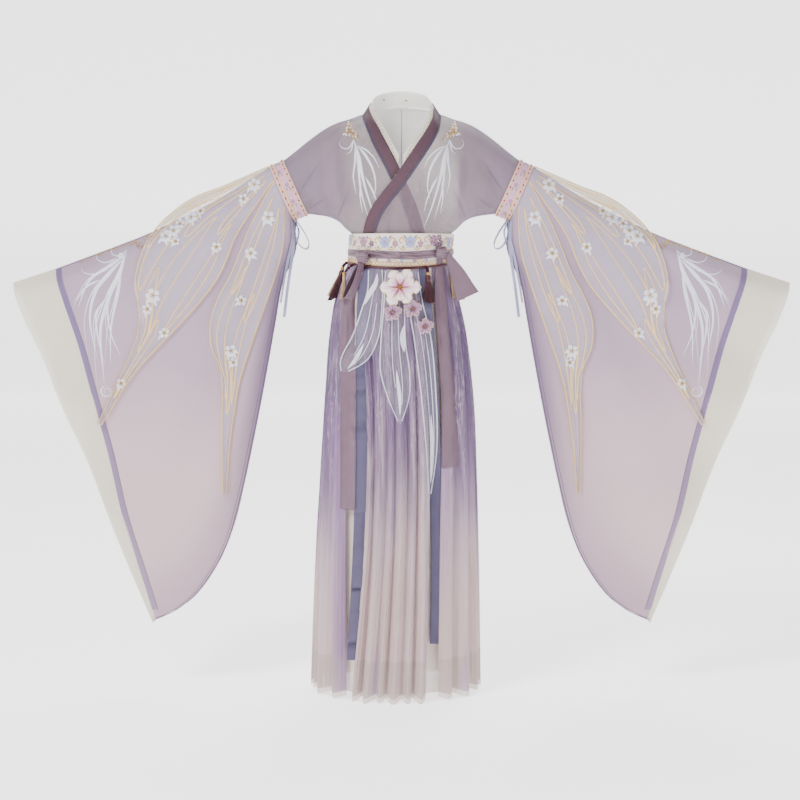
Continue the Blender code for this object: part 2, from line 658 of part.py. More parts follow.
def build_armlets():
    brocade = finish("pink_brocade", (197, 173, 186), 0.65)
    spans = 20
    turn = np.arange(spans) * 2 * math.pi / spans
    half_height = np.linalg.norm(ARMLET_TOP - ARMLET_FOOT) / 2 + 0.0012
    middle = (ARMLET_TOP + ARMLET_FOOT) / 2
    # Piped edges stand proud of the flat brocade between them
    profile = table("along raised", [
        (0.0000, 0.0012), (0.0040, 0.0018), (0.0080, 0.0004), (0.0255, 0.0004),
        (0.0296, 0.0018), (0.0336, 0.0012)])
    rings = []
    for along, raised in zip(profile["along"], profile["raised"]):
        foot = middle + ARM_WAY * (along + SEAM_GAP / 2)
        up = (half_height + raised) * np.cos(turn)
        rings.append(np.column_stack([foot[0] + ARMLET_RISE[0] * up,
                                      -(ARMLET_HALF_DEPTH + 0.0010 + raised) * np.sin(turn),
                                      foot[1] + ARMLET_RISE[1] * up]))
    for word, side in (("left", 1), ("right", -1)):
        grid = place(np.array(rings), side)
        centre = grid.mean(axis=1, keepdims=True)
        normal = grid_normals(grid, True)
        if (normal * (grid - centre)).sum() < 0:
            normal = -normal
        cloth("armlet_" + word, grid, 0.0020, brocade, None, loop=True, normal=normal)


# Free organza wings on the sleeves: two edges, each from the armlet to the tip
WING_UPPER = (
    [(0.3145, -0.1200), (0.4222, -0.1660), (0.5078, -0.2010), (0.5723, -0.2550), (0.6035, -0.2972),
     (0.6333, -0.4060), (0.6180, -0.4645), (0.6349, -0.5368), (0.6692, -0.6175), (0.7281, -0.7354)],
    [(0.3010, -0.1560), (0.3876, -0.2823), (0.4287, -0.3769), (0.4830, -0.4480), (0.5393, -0.5070),
     (0.6400, -0.6150), (0.7200, -0.7390)])
WING_LOWER = (
    [(0.3000, -0.1580), (0.3560, -0.2600), (0.4001, -0.3658), (0.4494, -0.4668), (0.4525, -0.5464),
     (0.4300, -0.6125), (0.4300, -0.6994), (0.4300, -0.7900), (0.4290, -0.9040)],
    [(0.2760, -0.2170), (0.2790, -0.3066), (0.3087, -0.4070), (0.3547, -0.5368), (0.3854, -0.6275),
     (0.3990, -0.7000), (0.4120, -0.7900), (0.4210, -0.9040)])
WING_BACK = (
    [(0.3145, -0.1210), (0.4100, -0.2050), (0.4750, -0.3200), (0.5000, -0.4400), (0.4900, -0.5700),
     (0.4450, -0.6800), (0.4150, -0.7900)],
    [(0.2760, -0.2170), (0.2870, -0.3060), (0.3120, -0.4070), (0.3380, -0.5368), (0.3480, -0.6500),
     (0.3560, -0.7300), (0.3900, -0.7950)])


# Ribbon that hangs from under each armlet band, in the same form
TIE = (
    [(0.2620, -0.2480), (0.2640, -0.3180), (0.2760, -0.4000), (0.2860, -0.4780)],
    [(0.2490, -0.2570), (0.2530, -0.3180), (0.2640, -0.4000), (0.2740, -0.4780)])


def wing(name, edges, surface, material, face, spans, side, rest=REST_GAP):
    """A loose wing of organza that starts on the sleeve and hangs a little clear of it."""
    share = np.linspace(0, 1, spans + 1)
    first = curve(edges[0], share)
    second = curve(edges[1], share)
    across = np.array([0.0, 0.33, 0.67, 1.0])
    flat = first[None] * (1 - across)[:, None, None] + second[None] * across[:, None, None]
    x = flat[:, :, 0]
    z = flat[:, :, 1]
    grid, splits = surface
    corners = triangles_of([(place(grid, side), splits)])
    base = height_over(corners, x, z)
    for column in range(spans + 1):
        known = ~np.isnan(base[:, column])
        if known.any():
            base[:, column] = np.where(known, base[:, column], base[known, column].mean())
        else:
            base[:, column] = base[:, column - 1]
    clear = ORGANZA + REST_GAP + 0.0060 * ease(share, 0.0, 0.35)[None, :]
    flutter = 0.0025 * np.sin(share * 9.0)[None, :] * np.sin(across * math.pi)[:, None]
    y = base + face * (clear + flutter * ease(share, 0.1, 0.5)[None, :])
    rested = rest_on(np.dstack([x, y, z]), corners, face, ORGANZA + rest)
    cloth(name, place(rested, side), ORGANZA, material, FRONT if face < 0 else BACK)


def build_wings(layers):
    organza = finish("wing_organza", (205, 192, 204), 0.6)
    blue = finish("tie_ribbon", (158, 162, 190), 0.5)
    for word, side in (("left", 1), ("right", -1)):
        front = layers["front", word]
        back = layers["back", word]
        wing("wing_upper_" + word, WING_UPPER, front, organza, -1, 10, side)
        wing("wing_lower_" + word, WING_LOWER, front, organza, -1, 10, side)
        wing("wing_back_" + word, WING_BACK, back, organza, 1, 8, side)
        wing("tie_" + word, TIE, front, blue, -1, 6, side, rest=2 * REST_GAP)


# Waist

def belt_ring(turn, share, out):
    """Points round the waistband. Turn is 0 in front, share runs from its top to its foot."""
    foot = BELT_BOTTOM - BELT_FRONT_DIP * np.clip(np.cos(turn), 0, 1) ** 1.5
    middle = -0.003
    return np.column_stack([middle * share + (BELT_HALF_WIDTH + out) * np.sin(turn),
                            -(BELT_HALF_DEPTH + out) * np.cos(turn),
                            BELT_TOP + (foot - BELT_TOP) * share])


def build_waist():
    cream = finish("belt_brocade", (239, 236, 232), 0.7)
    mauve = finish("sash_satin", (165, 150, 160), 0.5)
    # Rows down the waistband: flat embroidery above, a raised lattice trim below
    profile = table("share raised", [
        (0.00, 0.0000), (0.04, 0.0008), (0.50, 0.0000), (0.78, 0.0000), (0.82, 0.0012), (1.00, 0.0008)])
    turn = np.arange(WAIST_SPANS) * 2 * math.pi / WAIST_SPANS
    rows = [belt_ring(turn, share, raised) for share, raised in zip(*profile.values())]
    belt = cloth("belt", rows, BELT_CLOTH, cream, "round", loop=True)
    rows = []
    for share, raised in ((0.53, 0.0), (0.61, 0.0010), (0.69, 0.0008), (0.765, 0.0)):
        rows.append(belt_ring(turn, share, REST_GAP + SASH_CLOTH + raised))
    cloth("sash", rows, SASH_CLOTH, mauve, "round", loop=True)
    return belt


def strip(name, rows, thickness, material, outside=FRONT, fold=0.0, columns=3):
    """A hanging ribbon: each row gives its height, its left and right edge and its depth."""
    count = 2 * len(rows) - 1
    share = np.linspace(0, 1, count)
    data = curve(rows, share)
    across = np.linspace(0, 1, columns)
    grid = []
    for z, left, right, y in data:
        x = left + (right - left) * across
        crease = fold * np.sin(across * math.pi * 2)
        grid.append(np.column_stack([x, y - crease, np.full(columns, z)]))
    return cloth(name, grid, thickness, material, outside)


def knot(name, turn, z, size, material):
    """A tied lump of ribbon on the sash: a flattened ball with wrapped ridges."""
    angle = math.radians(turn)
    out = np.array([math.sin(angle), -math.cos(angle), 0.0])
    side = np.array([math.cos(angle), math.sin(angle), 0.0])
    reach = size[1] + SASH_CLOTH + 0.0018
    centre = np.array([(BELT_HALF_WIDTH + reach) * out[0] - 0.002, (BELT_HALF_DEPTH + reach) * out[1], z])
    rings = 6
    spans = 12
    around = np.arange(spans) * 2 * math.pi / spans
    points = [centre + (0, 0, size[2])]
    for ring in range(1, rings):
        lean = math.pi * ring / rings
        ridge = 1 + 0.10 * np.cos(3 * around + lean * 1.5)
        across = size[0] * math.sin(lean) * np.cos(around) * ridge
        deep = size[1] * math.sin(lean) * np.sin(around)
        for a, d in zip(across, deep):
            points.append(centre + side * a + out * d + (0, 0, size[2] * math.cos(lean)))
    points.append(centre - (0, 0, size[2]))
    last = len(points) - 1
    faces = []
    for step in range(spans):
        after = (step + 1) % spans
        faces.append((0, 1 + after, 1 + step))
        for ring in range(rings - 2):
            low = 1 + ring * spans
            faces.append((low + step, low + after, low + spans + after, low + spans + step))
        low = 1 + (rings - 2) * spans
        faces.append((last, low + step, low + after))
    keep(name, points, faces, material)


def ribbon_loop(name, top, foot, width, bulge, material):
    """A hanging loop of ribbon, open at both sides, whose ends meet at the knot."""
    turn = np.linspace(0.06, 0.94, 12) * 2 * math.pi
    top = np.array(top)
    foot = np.array(foot)
    rows = []
    for angle in turn:
        share = (1 - math.cos(angle)) / 2
        centre = top + (foot - top) * share
        swell = bulge * math.sin(angle) * (0.35 + 0.65 * share)
        reach = width * (0.55 + 0.45 * share) / 2
        rows.append([(centre[0] - reach, centre[1] - swell, centre[2] + 0.004),
                     (centre[0], centre[1] - swell * 1.08, centre[2]),
                     (centre[0] + reach, centre[1] - swell, centre[2] + 0.002)])
    grid = np.array(rows)
    middle = (top + foot) / 2
    normal = grid_normals(grid, False)
    if (normal * (grid - middle)).sum() < 0:
        normal = -normal
    cloth(name, grid, 0.0012, material, None, normal=normal)


def build_bows(panels):
    """The knots of the sash, its hanging ends, and the folded loops under the right knot."""
    mauve = finish("sash_tail", (150, 134, 145), 0.55)
    knot("knot_right", -41.0, -0.3350, (0.0190, 0.0105, 0.0150), mauve)
    knot("knot_left", 45.0, -0.3250, (0.0180, 0.0105, 0.0150), mauve)
    base = triangles_of(panels)
    right = on_skirt([
        (-0.3600, -0.1080, -0.0860), (-0.4347, -0.1452, -0.1090), (-0.5000, -0.1450, -0.1080),
        (-0.6675, -0.1435, -0.1062), (-0.8000, -0.1440, -0.1070), (-0.9250, -0.1442, -0.1090)],
        base, SHEER + 2 * REST_GAP, 0.002, curl=0.002)
    left = on_skirt([
        (-0.3600, 0.0800, 0.1000), (-0.4347, 0.0765, 0.1055), (-0.5500, 0.0850, 0.1150),
        (-0.6675, 0.0920, 0.1246), (-0.8270, 0.0946, 0.1344)],
        base, SHEER + REST_GAP, 0.002, curl=0.002)
    made = []
    for word, grid in (("right", right), ("left", left)):
        piece = cloth("tail_" + word, grid, SHEER, mauve, FRONT)
        made.append((piece["outer"], piece["splits"]))
    strip("tail_left_short", [
        (-0.3330, 0.1084, 0.1210, -0.0798), (-0.3700, 0.1190, 0.1480, -0.0860),
        (-0.4280, 0.1290, 0.1800, -0.0900)], SHEER, mauve, fold=0.0015)
    under = triangles_of(panels + made)
    foot = foremost(under, -0.1250, -0.4150, 0.020) - 0.0110
    ribbon_loop("loop_right", (-0.0930, -0.0930, -0.3481), (-0.1250, foot, -0.4350), 0.034, 0.008, mauve)
    return made


# Skirt

def skirt_ring(turn, z, inset, fold):
    """Points of the skirt form at angles (degrees from the front) and one height."""
    angle = np.radians(turn)
    half_width = smooth(SKIRT["z"], SKIRT["half_width"], z) - inset
    half_depth = smooth(SKIRT["z"], SKIRT["half_depth"], z) - inset
    middle = smooth(SKIRT["z"], SKIRT["middle"], z)
    x = middle + (half_width + fold) * np.sin(angle)
    y = -(half_depth + fold) * np.cos(angle)
    return np.column_stack([x, y, np.broadcast_to(z, x.shape)])


# Folds of each outer panel: share of the panel's width and height as a share of the section's
PANEL_FOLDS = {
    "front": table("share height", [
        (0.80, 0.75), (1.20, 1.00), (0.80, 0.60), (1.20, 0.95), (0.85, 0.70), (1.10, 1.05)]),
    "left": table("share height", [
        (0.75, 0.60), (1.15, 1.05), (0.85, 0.75), (1.10, 0.90), (0.90, 0.70)]),
    "right": table("share height", [
        (0.90, 0.80), (1.10, 1.05), (0.70, 0.60), (1.20, 0.95), (0.95, 0.75)]),
    "back_left": table("share height", [
        (1.05, 0.90), (0.80, 0.70), (1.15, 1.05), (0.90, 0.65)]),
    "back_right": table("share height", [
        (0.85, 0.75), (1.10, 1.00), (0.95, 0.70), (1.15, 1.05)])}

SIDE_SEAM = 118.0
SKIRT_HEIGHTS = (-0.420, -0.520, -0.660, -0.840, -1.050, HEM)
FOLD_REST = 0.85


def fold_columns(folds):
    """Places (0 to 1) and heights (-1 to 1) across a panel, four for each fold."""
    width = folds["share"] / folds["share"].sum()
    start = np.concatenate([[0.0], np.cumsum(width)[:-1]])
    places = []
    heights = []
    for left, span, tall in zip(start, width, folds["height"]):
        for share, way in ((0.0, -0.75), (0.22, 0.25), (0.47, 1.0), (0.76, 0.20)):
            places.append(left + share * span)
            heights.append(way * tall)
    return np.array(places + [1.0]), np.array(heights + [-0.5])


def slit(name, z):
    return smooth(SLITS["z"], SLITS[name], z)


def panel_edges(word, z):
    """Start and end of an outer panel in degrees at a height."""
    gap = 0.14
    return {
        "front": (slit("right_inner", z), slit("left_inner", z)),
        "left": (slit("left_outer", z), SIDE_SEAM - gap),
        "back_left": (SIDE_SEAM + gap, 180.0 - gap),
        "back_right": (180.0 + gap, 360.0 - SIDE_SEAM - gap),
        "right": (360.0 - SIDE_SEAM + gap, 360.0 + slit("right_outer", z))}[word]


def belt_foot(turn):
    """Height of the waistband's lower edge at angles in degrees."""
    return BELT_BOTTOM - BELT_FRONT_DIP * np.clip(np.cos(np.radians(turn)), 0, 1) ** 1.5


def skirt_panel(word):
    """Grid of one outer panel, with its folds growing from the waist to the hem."""
    places, heights = fold_columns(PANEL_FOLDS[word])
    rows = []
    start, end = panel_edges(word, BELT_BOTTOM)
    turn = start + (end - start) * places
    ring = skirt_ring(turn, np.full(turn.shape, BELT_BOTTOM), 0.0, 0.0004 * heights)
    ring[:, 2] = belt_foot(turn) - SEAM_GAP
    rows.append(ring)
    for level in SKIRT_HEIGHTS:
        start, end = panel_edges(word, level)
        turn = start + (end - start) * places
        fold = smooth(SKIRT["z"], SKIRT["fold"], level) * (heights - FOLD_REST)
        z = np.full(turn.shape, level)
        if level == HEM:
            z = z + 0.006 * np.sin(np.radians(turn)) ** 2 + 0.002 * heights
        rows.append(skirt_ring(turn, z, 0.0, fold))
    return np.array(rows)


def under_ring(turn, z, inset, waves, swell):
    """A ring of an under layer: its own softer folds inside the outer skirt."""
    fold = swell * np.sin(np.radians(turn) * waves + 0.6 * np.sin(np.radians(turn) * 3))
    return skirt_ring(turn, np.full(turn.shape, z), inset, fold)


def build_skirt(belt):
    purple = finish("skirt_organza", (160, 147, 165), 0.75)
    cream = finish("underskirt_organza", (214, 204, 200), 0.8)
    satin = finish("lining_satin", (205, 190, 196), 0.6)
    panels = {}
    for word in PANEL_FOLDS:
        outside = {"front": FRONT, "left": (1, 0, 0), "right": (-1, 0, 0)}.get(word, BACK)
        piece = cloth("skirt_" + word, skirt_panel(word), SHEER, purple, outside)
        panels[word] = (piece["outer"], piece["splits"])
    levels = table("z under_inset under_swell lining_inset", [
        (-0.420, 0.0105, 0.0006, 0.0150), (-0.600, 0.0205, 0.0020, 0.0270),
        (-0.850, 0.0250, 0.0030, 0.0335), (LINING_HEM, 0.0320, 0.0045, 0.0420),
        (-1.362, 0.0335, 0.0050, 0.0430)])
    # Both under layers start inside the waistband, on the turned-in points of its foot
    turn = np.arange(WAIST_SPANS) * 360.0 / WAIST_SPANS
    hang = (belt["inner"][-1] + belt["inner"][-2]) / 2
    way = belt["normal"][-1]
    start = hang - way * SEAM_GAP
    foot = belt["inner"][-1] - way * SEAM_GAP - (0, 0, SEAM_GAP)
    inside = way * (SHEER + SEAM_GAP)
    rows = [under_ring(turn, z, inset, 9, swell) for z, inset, swell, _ in zip(*levels.values())]
    under = np.array([start, foot] + rows)
    quarter = WAIST_SPANS // 4
    for word, columns in (("front", np.arange(-quarter, quarter + 1)),
                          ("back", np.arange(quarter, 3 * quarter + 1))):
        grid = under[:, columns % WAIST_SPANS].copy()
        grid[:, (0, -1), 1] += SEAM_GAP / 2 * (-1 if word == "front" else 1)
        end = np.zeros(grid.shape[:2], bool)
        end[:, (0, -1)] = True
        cloth("underskirt_" + word, grid, SHEER, cream, FRONT if word == "front" else BACK, level=end)
    rows = [under_ring(turn, z, inset, 1, 0.0)
            for z, _, _, inset in zip(*levels.values()) if z >= LINING_HEM]
    cloth("lining", [start - inside, foot - inside] + rows, SHEER, satin, "round", loop=True)
    return panels


def on_skirt(rows, corners, clear, off, columns=3, curl=0.0):
    """Grid of a strip that hangs on the skirt: each row gives z and its two edges in X."""
    data = curve(rows, np.linspace(0, 1, 2 * len(rows) - 1))
    across = np.linspace(0, 1, columns)
    grid = []
    for step, (z, left, right) in enumerate(data):
        x = left + (right - left) * across
        half_width = smooth(SKIRT["z"], SKIRT["half_width"], z)
        half_depth = smooth(SKIRT["z"], SKIRT["half_depth"], z)
        middle = smooth(SKIRT["z"], SKIRT["middle"], z)
        share = np.clip((x - middle) / half_width, -0.97, 0.97)
        rise = off * ease(step / (len(data) - 1), 0.0, 0.4)
        y = -(half_depth * np.sqrt(1 - share ** 2) + rise + curl * np.sin(across * math.pi))
        grid.append(np.column_stack([x, y, np.full(columns, z)]))
    return rest_on(np.array(grid), corners, -1, clear)


def build_streamers(panels):
    slate = finish("slate_ribbon", (115, 115, 135), 0.6)
    base = triangles_of([panels["front"], panels["left"], panels["right"]])
    right = on_skirt([
        (-0.3560, -0.0960, -0.0640), (-0.4461, -0.1040, -0.0684), (-0.6667, -0.1090, -0.0740),
        (-0.9246, -0.1111, -0.0784), (-1.1000, -0.1180, -0.0860), (-1.2780, -0.1283, -0.0977)],
        base, SHEER + 2 * REST_GAP, -0.004)
    right[-1][:, 2] += (0.006, 0.0, -0.008)
    left = on_skirt([
        (-0.3580, 0.0420, 0.0640), (-0.5036, 0.0473, 0.0750), (-0.6660, 0.0600, 0.0869),
        (-0.9232, 0.0670, 0.0943), (-1.1000, 0.0680, 0.0970), (-1.2430, 0.0668, 0.0996)],
        base, SHEER + 2 * REST_GAP, -0.004)
    left[-1][:, 2] += (-0.006, 0.0, 0.006)
    made = {}
    for word, grid in (("right", right), ("left", left)):
        piece = cloth("streamer_" + word, grid, SHEER, slate, FRONT)
        made[word] = (piece["outer"], piece["splits"])
    return made


# Organza petals that hang from the waistband over the front of the skirt
APRON = {
    "right": [(-0.3600, -0.0780, -0.0440), (-0.4109, -0.0800, -0.0420), (-0.4453, -0.0900, -0.0440),
              (-0.5143, -0.1141, -0.0510), (-0.5719, -0.1430, -0.0773), (-0.6040, -0.1430, -0.1270)],
    "middle": [(-0.3600, -0.0380, 0.0080), (-0.4400, -0.0420, 0.0080), (-0.5368, -0.0495, 0.0110),
               (-0.6000, -0.0500, 0.0200), (-0.6600, -0.0330, 0.0190), (-0.7191, -0.0080, 0.0000)],
    "left": [(-0.3600, 0.0130, 0.0380), (-0.4400, 0.0150, 0.0500), (-0.5254, 0.0280, 0.0700),
             (-0.6500, 0.0440, 0.0810), (-0.7793, 0.0560, 0.0840), (-0.8956, 0.0630, 0.0690)]}


def build_apron(base):
    organza = finish("apron_organza", (226, 216, 222), 0.6)
    made = []
    for word, rows in APRON.items():
        grid = on_skirt(rows, base, SHEER + REST_GAP, 0.001, columns=4, curl=0.0015)
        piece = cloth("apron_" + word, grid, SHEER, organza, FRONT)
        made.append((piece["outer"], piece["splits"]))
    return made


def foremost(corners, x, z, reach):
    """The y of what stands farthest forward within reach of a point."""
    turn, share = np.meshgrid(np.linspace(0, 2 * math.pi, 49), np.linspace(0, 1, 17))
    return np.nanmin(height_over(corners, x + reach * share * np.sin(turn), z + reach * share * np.cos(turn)))


def flower(name, centre, radius, petals, tilt, material, rings=3):
    """A flat applique flower: petals raised in the outer points over a plain back."""
    spans = petals * 4
    turn = np.arange(spans) * 2 * math.pi / spans
    rim = 0.80 + 0.20 * np.abs(np.cos(turn * petals / 2)) ** 0.7
    cx, cy, cz = centre
    front = [(cx, cy - 0.16 * radius, cz)]
    back = [(cx, cy, cz)]
    for ring in range(1, rings + 1):
        share = ring / rings
        reach = radius * share * (1 - share + share * rim)
        ridge = np.abs(np.cos(turn * petals / 2)) ** 1.2
        height = 0.0016 + radius * (0.16 * (1 - share) + 0.12 * ridge * math.sin(share * math.pi * 0.85))
        x = cx + reach * np.sin(turn)
        z = cz + reach * np.cos(turn)
        y = cy + tilt * (x - cx)
        front += list(zip(x, y - height, z))
        back += list(zip(x, y, z))
    points = front + back
    low = len(front)
    faces = []
    for step in range(spans):
        after = (step + 1) % spans
        faces.append((0, 1 + after, 1 + step))
        faces.append((low, low + 1 + step, low + 1 + after))
        for ring in range(rings - 1):
            near = 1 + ring * spans
            far = near + spans
            faces.append((near + step, near + after, far + after))
            faces.append((near + step, far + after, far + step))
            faces.append((low + near + step, low + far + after, low + near + after))
            faces.append((low + near + step, low + far + step, low + far + after))
        edge = 1 + (rings - 1) * spans
        faces.append((edge + step, edge + after, low + edge + after))
        faces.append((edge + step, low + edge + after, low + edge + step))
    keep(name, points, faces, material)


FLOWERS = (
    ("flower", -0.0036, -0.4044, 0.0420, 6, 3), ("blossom_1", -0.0205, -0.4640, 0.0215, 5, 2),
    ("blossom_2", 0.0264, -0.4560, 0.0215, 5, 2), ("blossom_3", 0.0550, -0.4963, 0.0200, 5, 2))


def build_flowers(base):
    pink = finish("flower_pink", (226, 206, 212), 0.7)
    lilac = finish("blossom_lilac", (200, 178, 198), 0.7)
    for name, x, z, radius, petals, rings in FLOWERS:
        y = foremost(base, x, z, radius) - SEAM_GAP
        flower(name, (x, y, z), radius, petals, 0.0, pink if name == "flower" else lilac, rings)


# Tassels: name, degrees round the waist, height of the head, whole length, half width at the
# foot, distance from its axis to the cloth behind it, and colour
BURGUNDY = (78, 34, 44)
TAN = (186, 162, 138)
TASSELS = (
    ("tassel_right_hip", -76.0, -0.3640, 0.074, 0.0085, 0.0100, BURGUNDY),
    ("tassel_right_side", -94.0, -0.3640, 0.064, 0.0080, 0.0082, TAN),
    ("tassel_right_front", -52.0, -0.3760, 0.058, 0.0060, 0.0060, TAN),
    ("tassel_middle", 27.0, -0.3760, 0.066, 0.0095, 0.0097, BURGUNDY),
    ("tassel_left_side", 66.0, -0.3760, 0.060, 0.0080, 0.0100, TAN),
    ("tassel_left_hip", 82.0, -0.3760, 0.060, 0.0065, 0.0084, BURGUNDY))


def tassel(name, top, inward, length, spread, material):
    """A turned head whose underside gives off thread strands, each of four sides.

    One strand stands straight inward, which is an angle about Z, so the tassel leans on the cloth.
    """
    spans = 7
    head = min(0.016, length * 0.34)
    turn = inward + (np.arange(spans) + 0.5) * 2 * math.pi / spans
    profile = ((0.0, 0.20), (0.12, 0.62), (0.45, 0.80), (0.78, 0.62), (1.0, 0.86))
    mesh = bmesh.new()
    rings = []
    for share, width in profile:
        ring = [mesh.verts.new((top[0] + spread * width * math.cos(a),
                                top[1] + spread * width * math.sin(a),
                                top[2] - head * share)) for a in turn]
        rings.append(ring)
    mesh.faces.new(rings[0])
    for upper, lower in zip(rings, rings[1:]):
        for step in range(spans):
            after = (step + 1) % spans
            mesh.faces.new((upper[step], lower[step], lower[after], upper[after]))
    foot = rings[-1]
    inner = []
    for share in (0.52, 0.10):
        inner.append([mesh.verts.new((top[0] + (v.co.x - top[0]) * share,
                                      top[1] + (v.co.y - top[1]) * share, v.co.z)) for v in foot])
    roots = []
    for outer_ring, inner_ring in ((foot, inner[0]), (inner[0], inner[1])):
        for step in range(spans):
            after = (step + 1) % spans
            roots.append(mesh.faces.new((outer_ring[after], outer_ring[step],
                                         inner_ring[step], inner_ring[after])))
    mesh.faces.new(inner[1][::-1])
    bmesh.ops.recalc_face_normals(mesh, faces=mesh.faces)
    bmesh.ops.inset_individual(mesh, faces=roots, thickness=spread * 0.055)
    strands = bmesh.ops.extrude_discrete_faces(mesh, faces=roots)["faces"]
    for order, face in enumerate(strands):
        middle = face.calc_center_median()
        drop = (length - head) * (0.90 + 0.10 * math.sin(order * 2.4))
        push = 1.12 + 0.05 * math.sin(order * 1.7)
        for vert in face.verts:
            vert.co.x = top[0] + (middle.x - top[0]) * push + (vert.co.x - middle.x) * 0.85
            vert.co.y = top[1] + (middle.y - top[1]) * push + (vert.co.y - middle.y) * 0.85
            vert.co.z -= drop
    bmesh.ops.triangulate(mesh, faces=mesh.faces)
    data = bpy.data.meshes.new(name)
    mesh.to_mesh(data)
    mesh.free()
    data.materials.append(material)
    piece = bpy.data.objects.new(name, data)
    bpy.context.scene.collection.objects.link(piece)


def seat(corners, out, low, high, reach):
    """How far out from the middle of the skirt an upright round piece stands, resting on cloth."""
    share = np.array([(a, b) for a in np.linspace(0, 1, 6) for b in np.linspace(0, 1, 6) if a + b <= 1.001])
    near = corners[(corners[:, :, 2].max(axis=1) > low) & (corners[:, :, 2].min(axis=1) < high)]
    points = near[:, None, 0] + (near[:, None, 1] - near[:, None, 0]) * share[None, :, :1]
    points = (points + (near[:, None, 2] - near[:, None, 0]) * share[None, :, 1:]).reshape(-1, 3)
    aside = points[:, 1] * out[0] - points[:, 0] * out[1]
    ahead = points[:, 0] * out[0] + points[:, 1] * out[1]
    met = (np.abs(aside) < reach) & (points[:, 2] > low) & (points[:, 2] < high) & (ahead > 0)
    return (ahead[met] + np.sqrt(reach ** 2 - aside[met] ** 2)).max()


def build_tassels(base):
    for name, turn, z, length, spread, rest, colour in TASSELS:
        ring = skirt_ring(np.array([turn]), np.array([z - length]), 0.0, 0.0)[0]
        out = ring[:2] / np.linalg.norm(ring[:2])
        x, y = out * seat(base, out, z - length, z, rest)
        tassel(name, (x, y, z), math.atan2(-out[1], -out[0]), length, spread, finish(name + "_thread", colour, 0.8))


def main():
    for piece in list(bpy.data.objects):
        bpy.data.objects.remove(piece)
    build_jacket()
    build_wings(build_sleeves())
    build_armlets()
    belt = build_waist()
    panels = build_skirt(belt)
    streamers = build_streamers(panels)
    base = [panels["front"], panels["left"], panels["right"], streamers["left"], streamers["right"]]
    base = base + build_bows(base)
    petals = build_apron(triangles_of(base))
    build_flowers(triangles_of(petals + base))
    build_tassels(triangles_of(petals + base))


main()
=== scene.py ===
"""The looks of the hezi skirt hanfu set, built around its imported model.

Metres, +Z up. The front faces -Y and the wearer's left is +X. Each cloth is a thin sheet on its
solid's form, with finer folds. Embroidery, cords, beads and flowers lie on the sheets.
"""
import math

import bpy
import numpy as np
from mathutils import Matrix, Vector
from mathutils.bvhtree import BVHTree


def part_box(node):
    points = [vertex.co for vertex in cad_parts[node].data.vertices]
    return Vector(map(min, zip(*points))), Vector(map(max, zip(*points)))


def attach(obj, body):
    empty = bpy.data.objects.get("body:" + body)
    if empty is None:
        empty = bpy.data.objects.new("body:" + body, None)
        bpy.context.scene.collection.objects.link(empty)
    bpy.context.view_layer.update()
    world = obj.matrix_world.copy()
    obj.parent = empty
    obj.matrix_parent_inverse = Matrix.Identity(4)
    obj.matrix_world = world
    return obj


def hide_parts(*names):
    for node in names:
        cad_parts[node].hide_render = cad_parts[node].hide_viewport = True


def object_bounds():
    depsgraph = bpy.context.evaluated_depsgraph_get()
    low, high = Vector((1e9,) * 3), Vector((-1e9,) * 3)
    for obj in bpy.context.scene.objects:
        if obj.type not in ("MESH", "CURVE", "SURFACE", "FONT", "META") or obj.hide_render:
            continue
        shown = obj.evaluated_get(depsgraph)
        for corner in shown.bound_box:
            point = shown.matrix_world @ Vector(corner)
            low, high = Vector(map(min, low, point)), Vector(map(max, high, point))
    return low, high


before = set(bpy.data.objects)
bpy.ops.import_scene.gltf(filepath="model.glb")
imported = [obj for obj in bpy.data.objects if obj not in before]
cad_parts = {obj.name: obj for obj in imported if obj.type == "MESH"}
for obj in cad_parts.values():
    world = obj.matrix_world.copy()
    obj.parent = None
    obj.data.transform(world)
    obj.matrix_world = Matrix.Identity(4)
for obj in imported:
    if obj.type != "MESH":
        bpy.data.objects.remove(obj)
CAD_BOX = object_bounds()

# Driving dimensions, the same as the solids'
SEAM_GAP = 0.0004
COLLAR_WIDTH = 0.026
LACE_WIDTH = 0.013
BELT_TOP = -0.2803
BELT_BOTTOM = -0.346
BELT_FRONT_DIP = 0.0125
BELT_MIDDLE = -0.003
BELT_HALF_WIDTH = 0.1236
BELT_HALF_DEPTH = 0.1085
BODY_HALF_WIDTH = 0.1185
BODY_HALF_DEPTH = 0.0925
OVERLAP_LIFT = 0.006
ARMLET_WIDTH = 0.034
ARMLET_HALF_DEPTH = 0.046
HEM = -1.372
LINING_HEM = -1.278
BAND_END = np.array([0.0905, 0.0012])
BACK_NECK_TOP = 0.0253
ARMLET_TOP = np.array([0.2802, -0.1072])
ARMLET_FOOT = np.array([0.2238, -0.2329])
ARMLET_RISE = (ARMLET_TOP - ARMLET_FOOT) / np.linalg.norm(ARMLET_TOP - ARMLET_FOOT)
ARM_WAY = np.array([ARMLET_RISE[1], -ARMLET_RISE[0]])
NECK_SPANS = 11
SLEEVE_TOP_SPANS = 6
BACK_NECK_SPANS = 5
SLEEVE_SPANS = 11
JACKET_TUCK = 0.006
FRONT = -1
BACK = 1
LAYERS = (("front", FRONT), ("back", BACK))
SIDES = (("left", 1), ("right", -1))


def table(columns, rows):
    """A short table: the column names in one string, then a row of numbers for each section."""
    values = np.array(rows, float)
    return {name: values[:, column] for column, name in enumerate(columns.split())}


# Top line of shoulders and sleeves, from the neck out to the cuff corner
TOP_LINE = table("x z", [
    (0.0784, 0.0177), (0.0905, 0.0012), (0.1295, -0.0105), (0.1676, -0.0246), (0.1913, -0.0388),
    (0.2296, -0.067), (0.2802, -0.1072), (0.3206, -0.1266), (0.4538, -0.2069), (0.5948, -0.2756),
    (0.6857, -0.3112), (0.8234, -0.362), (0.9279, -0.3961)])

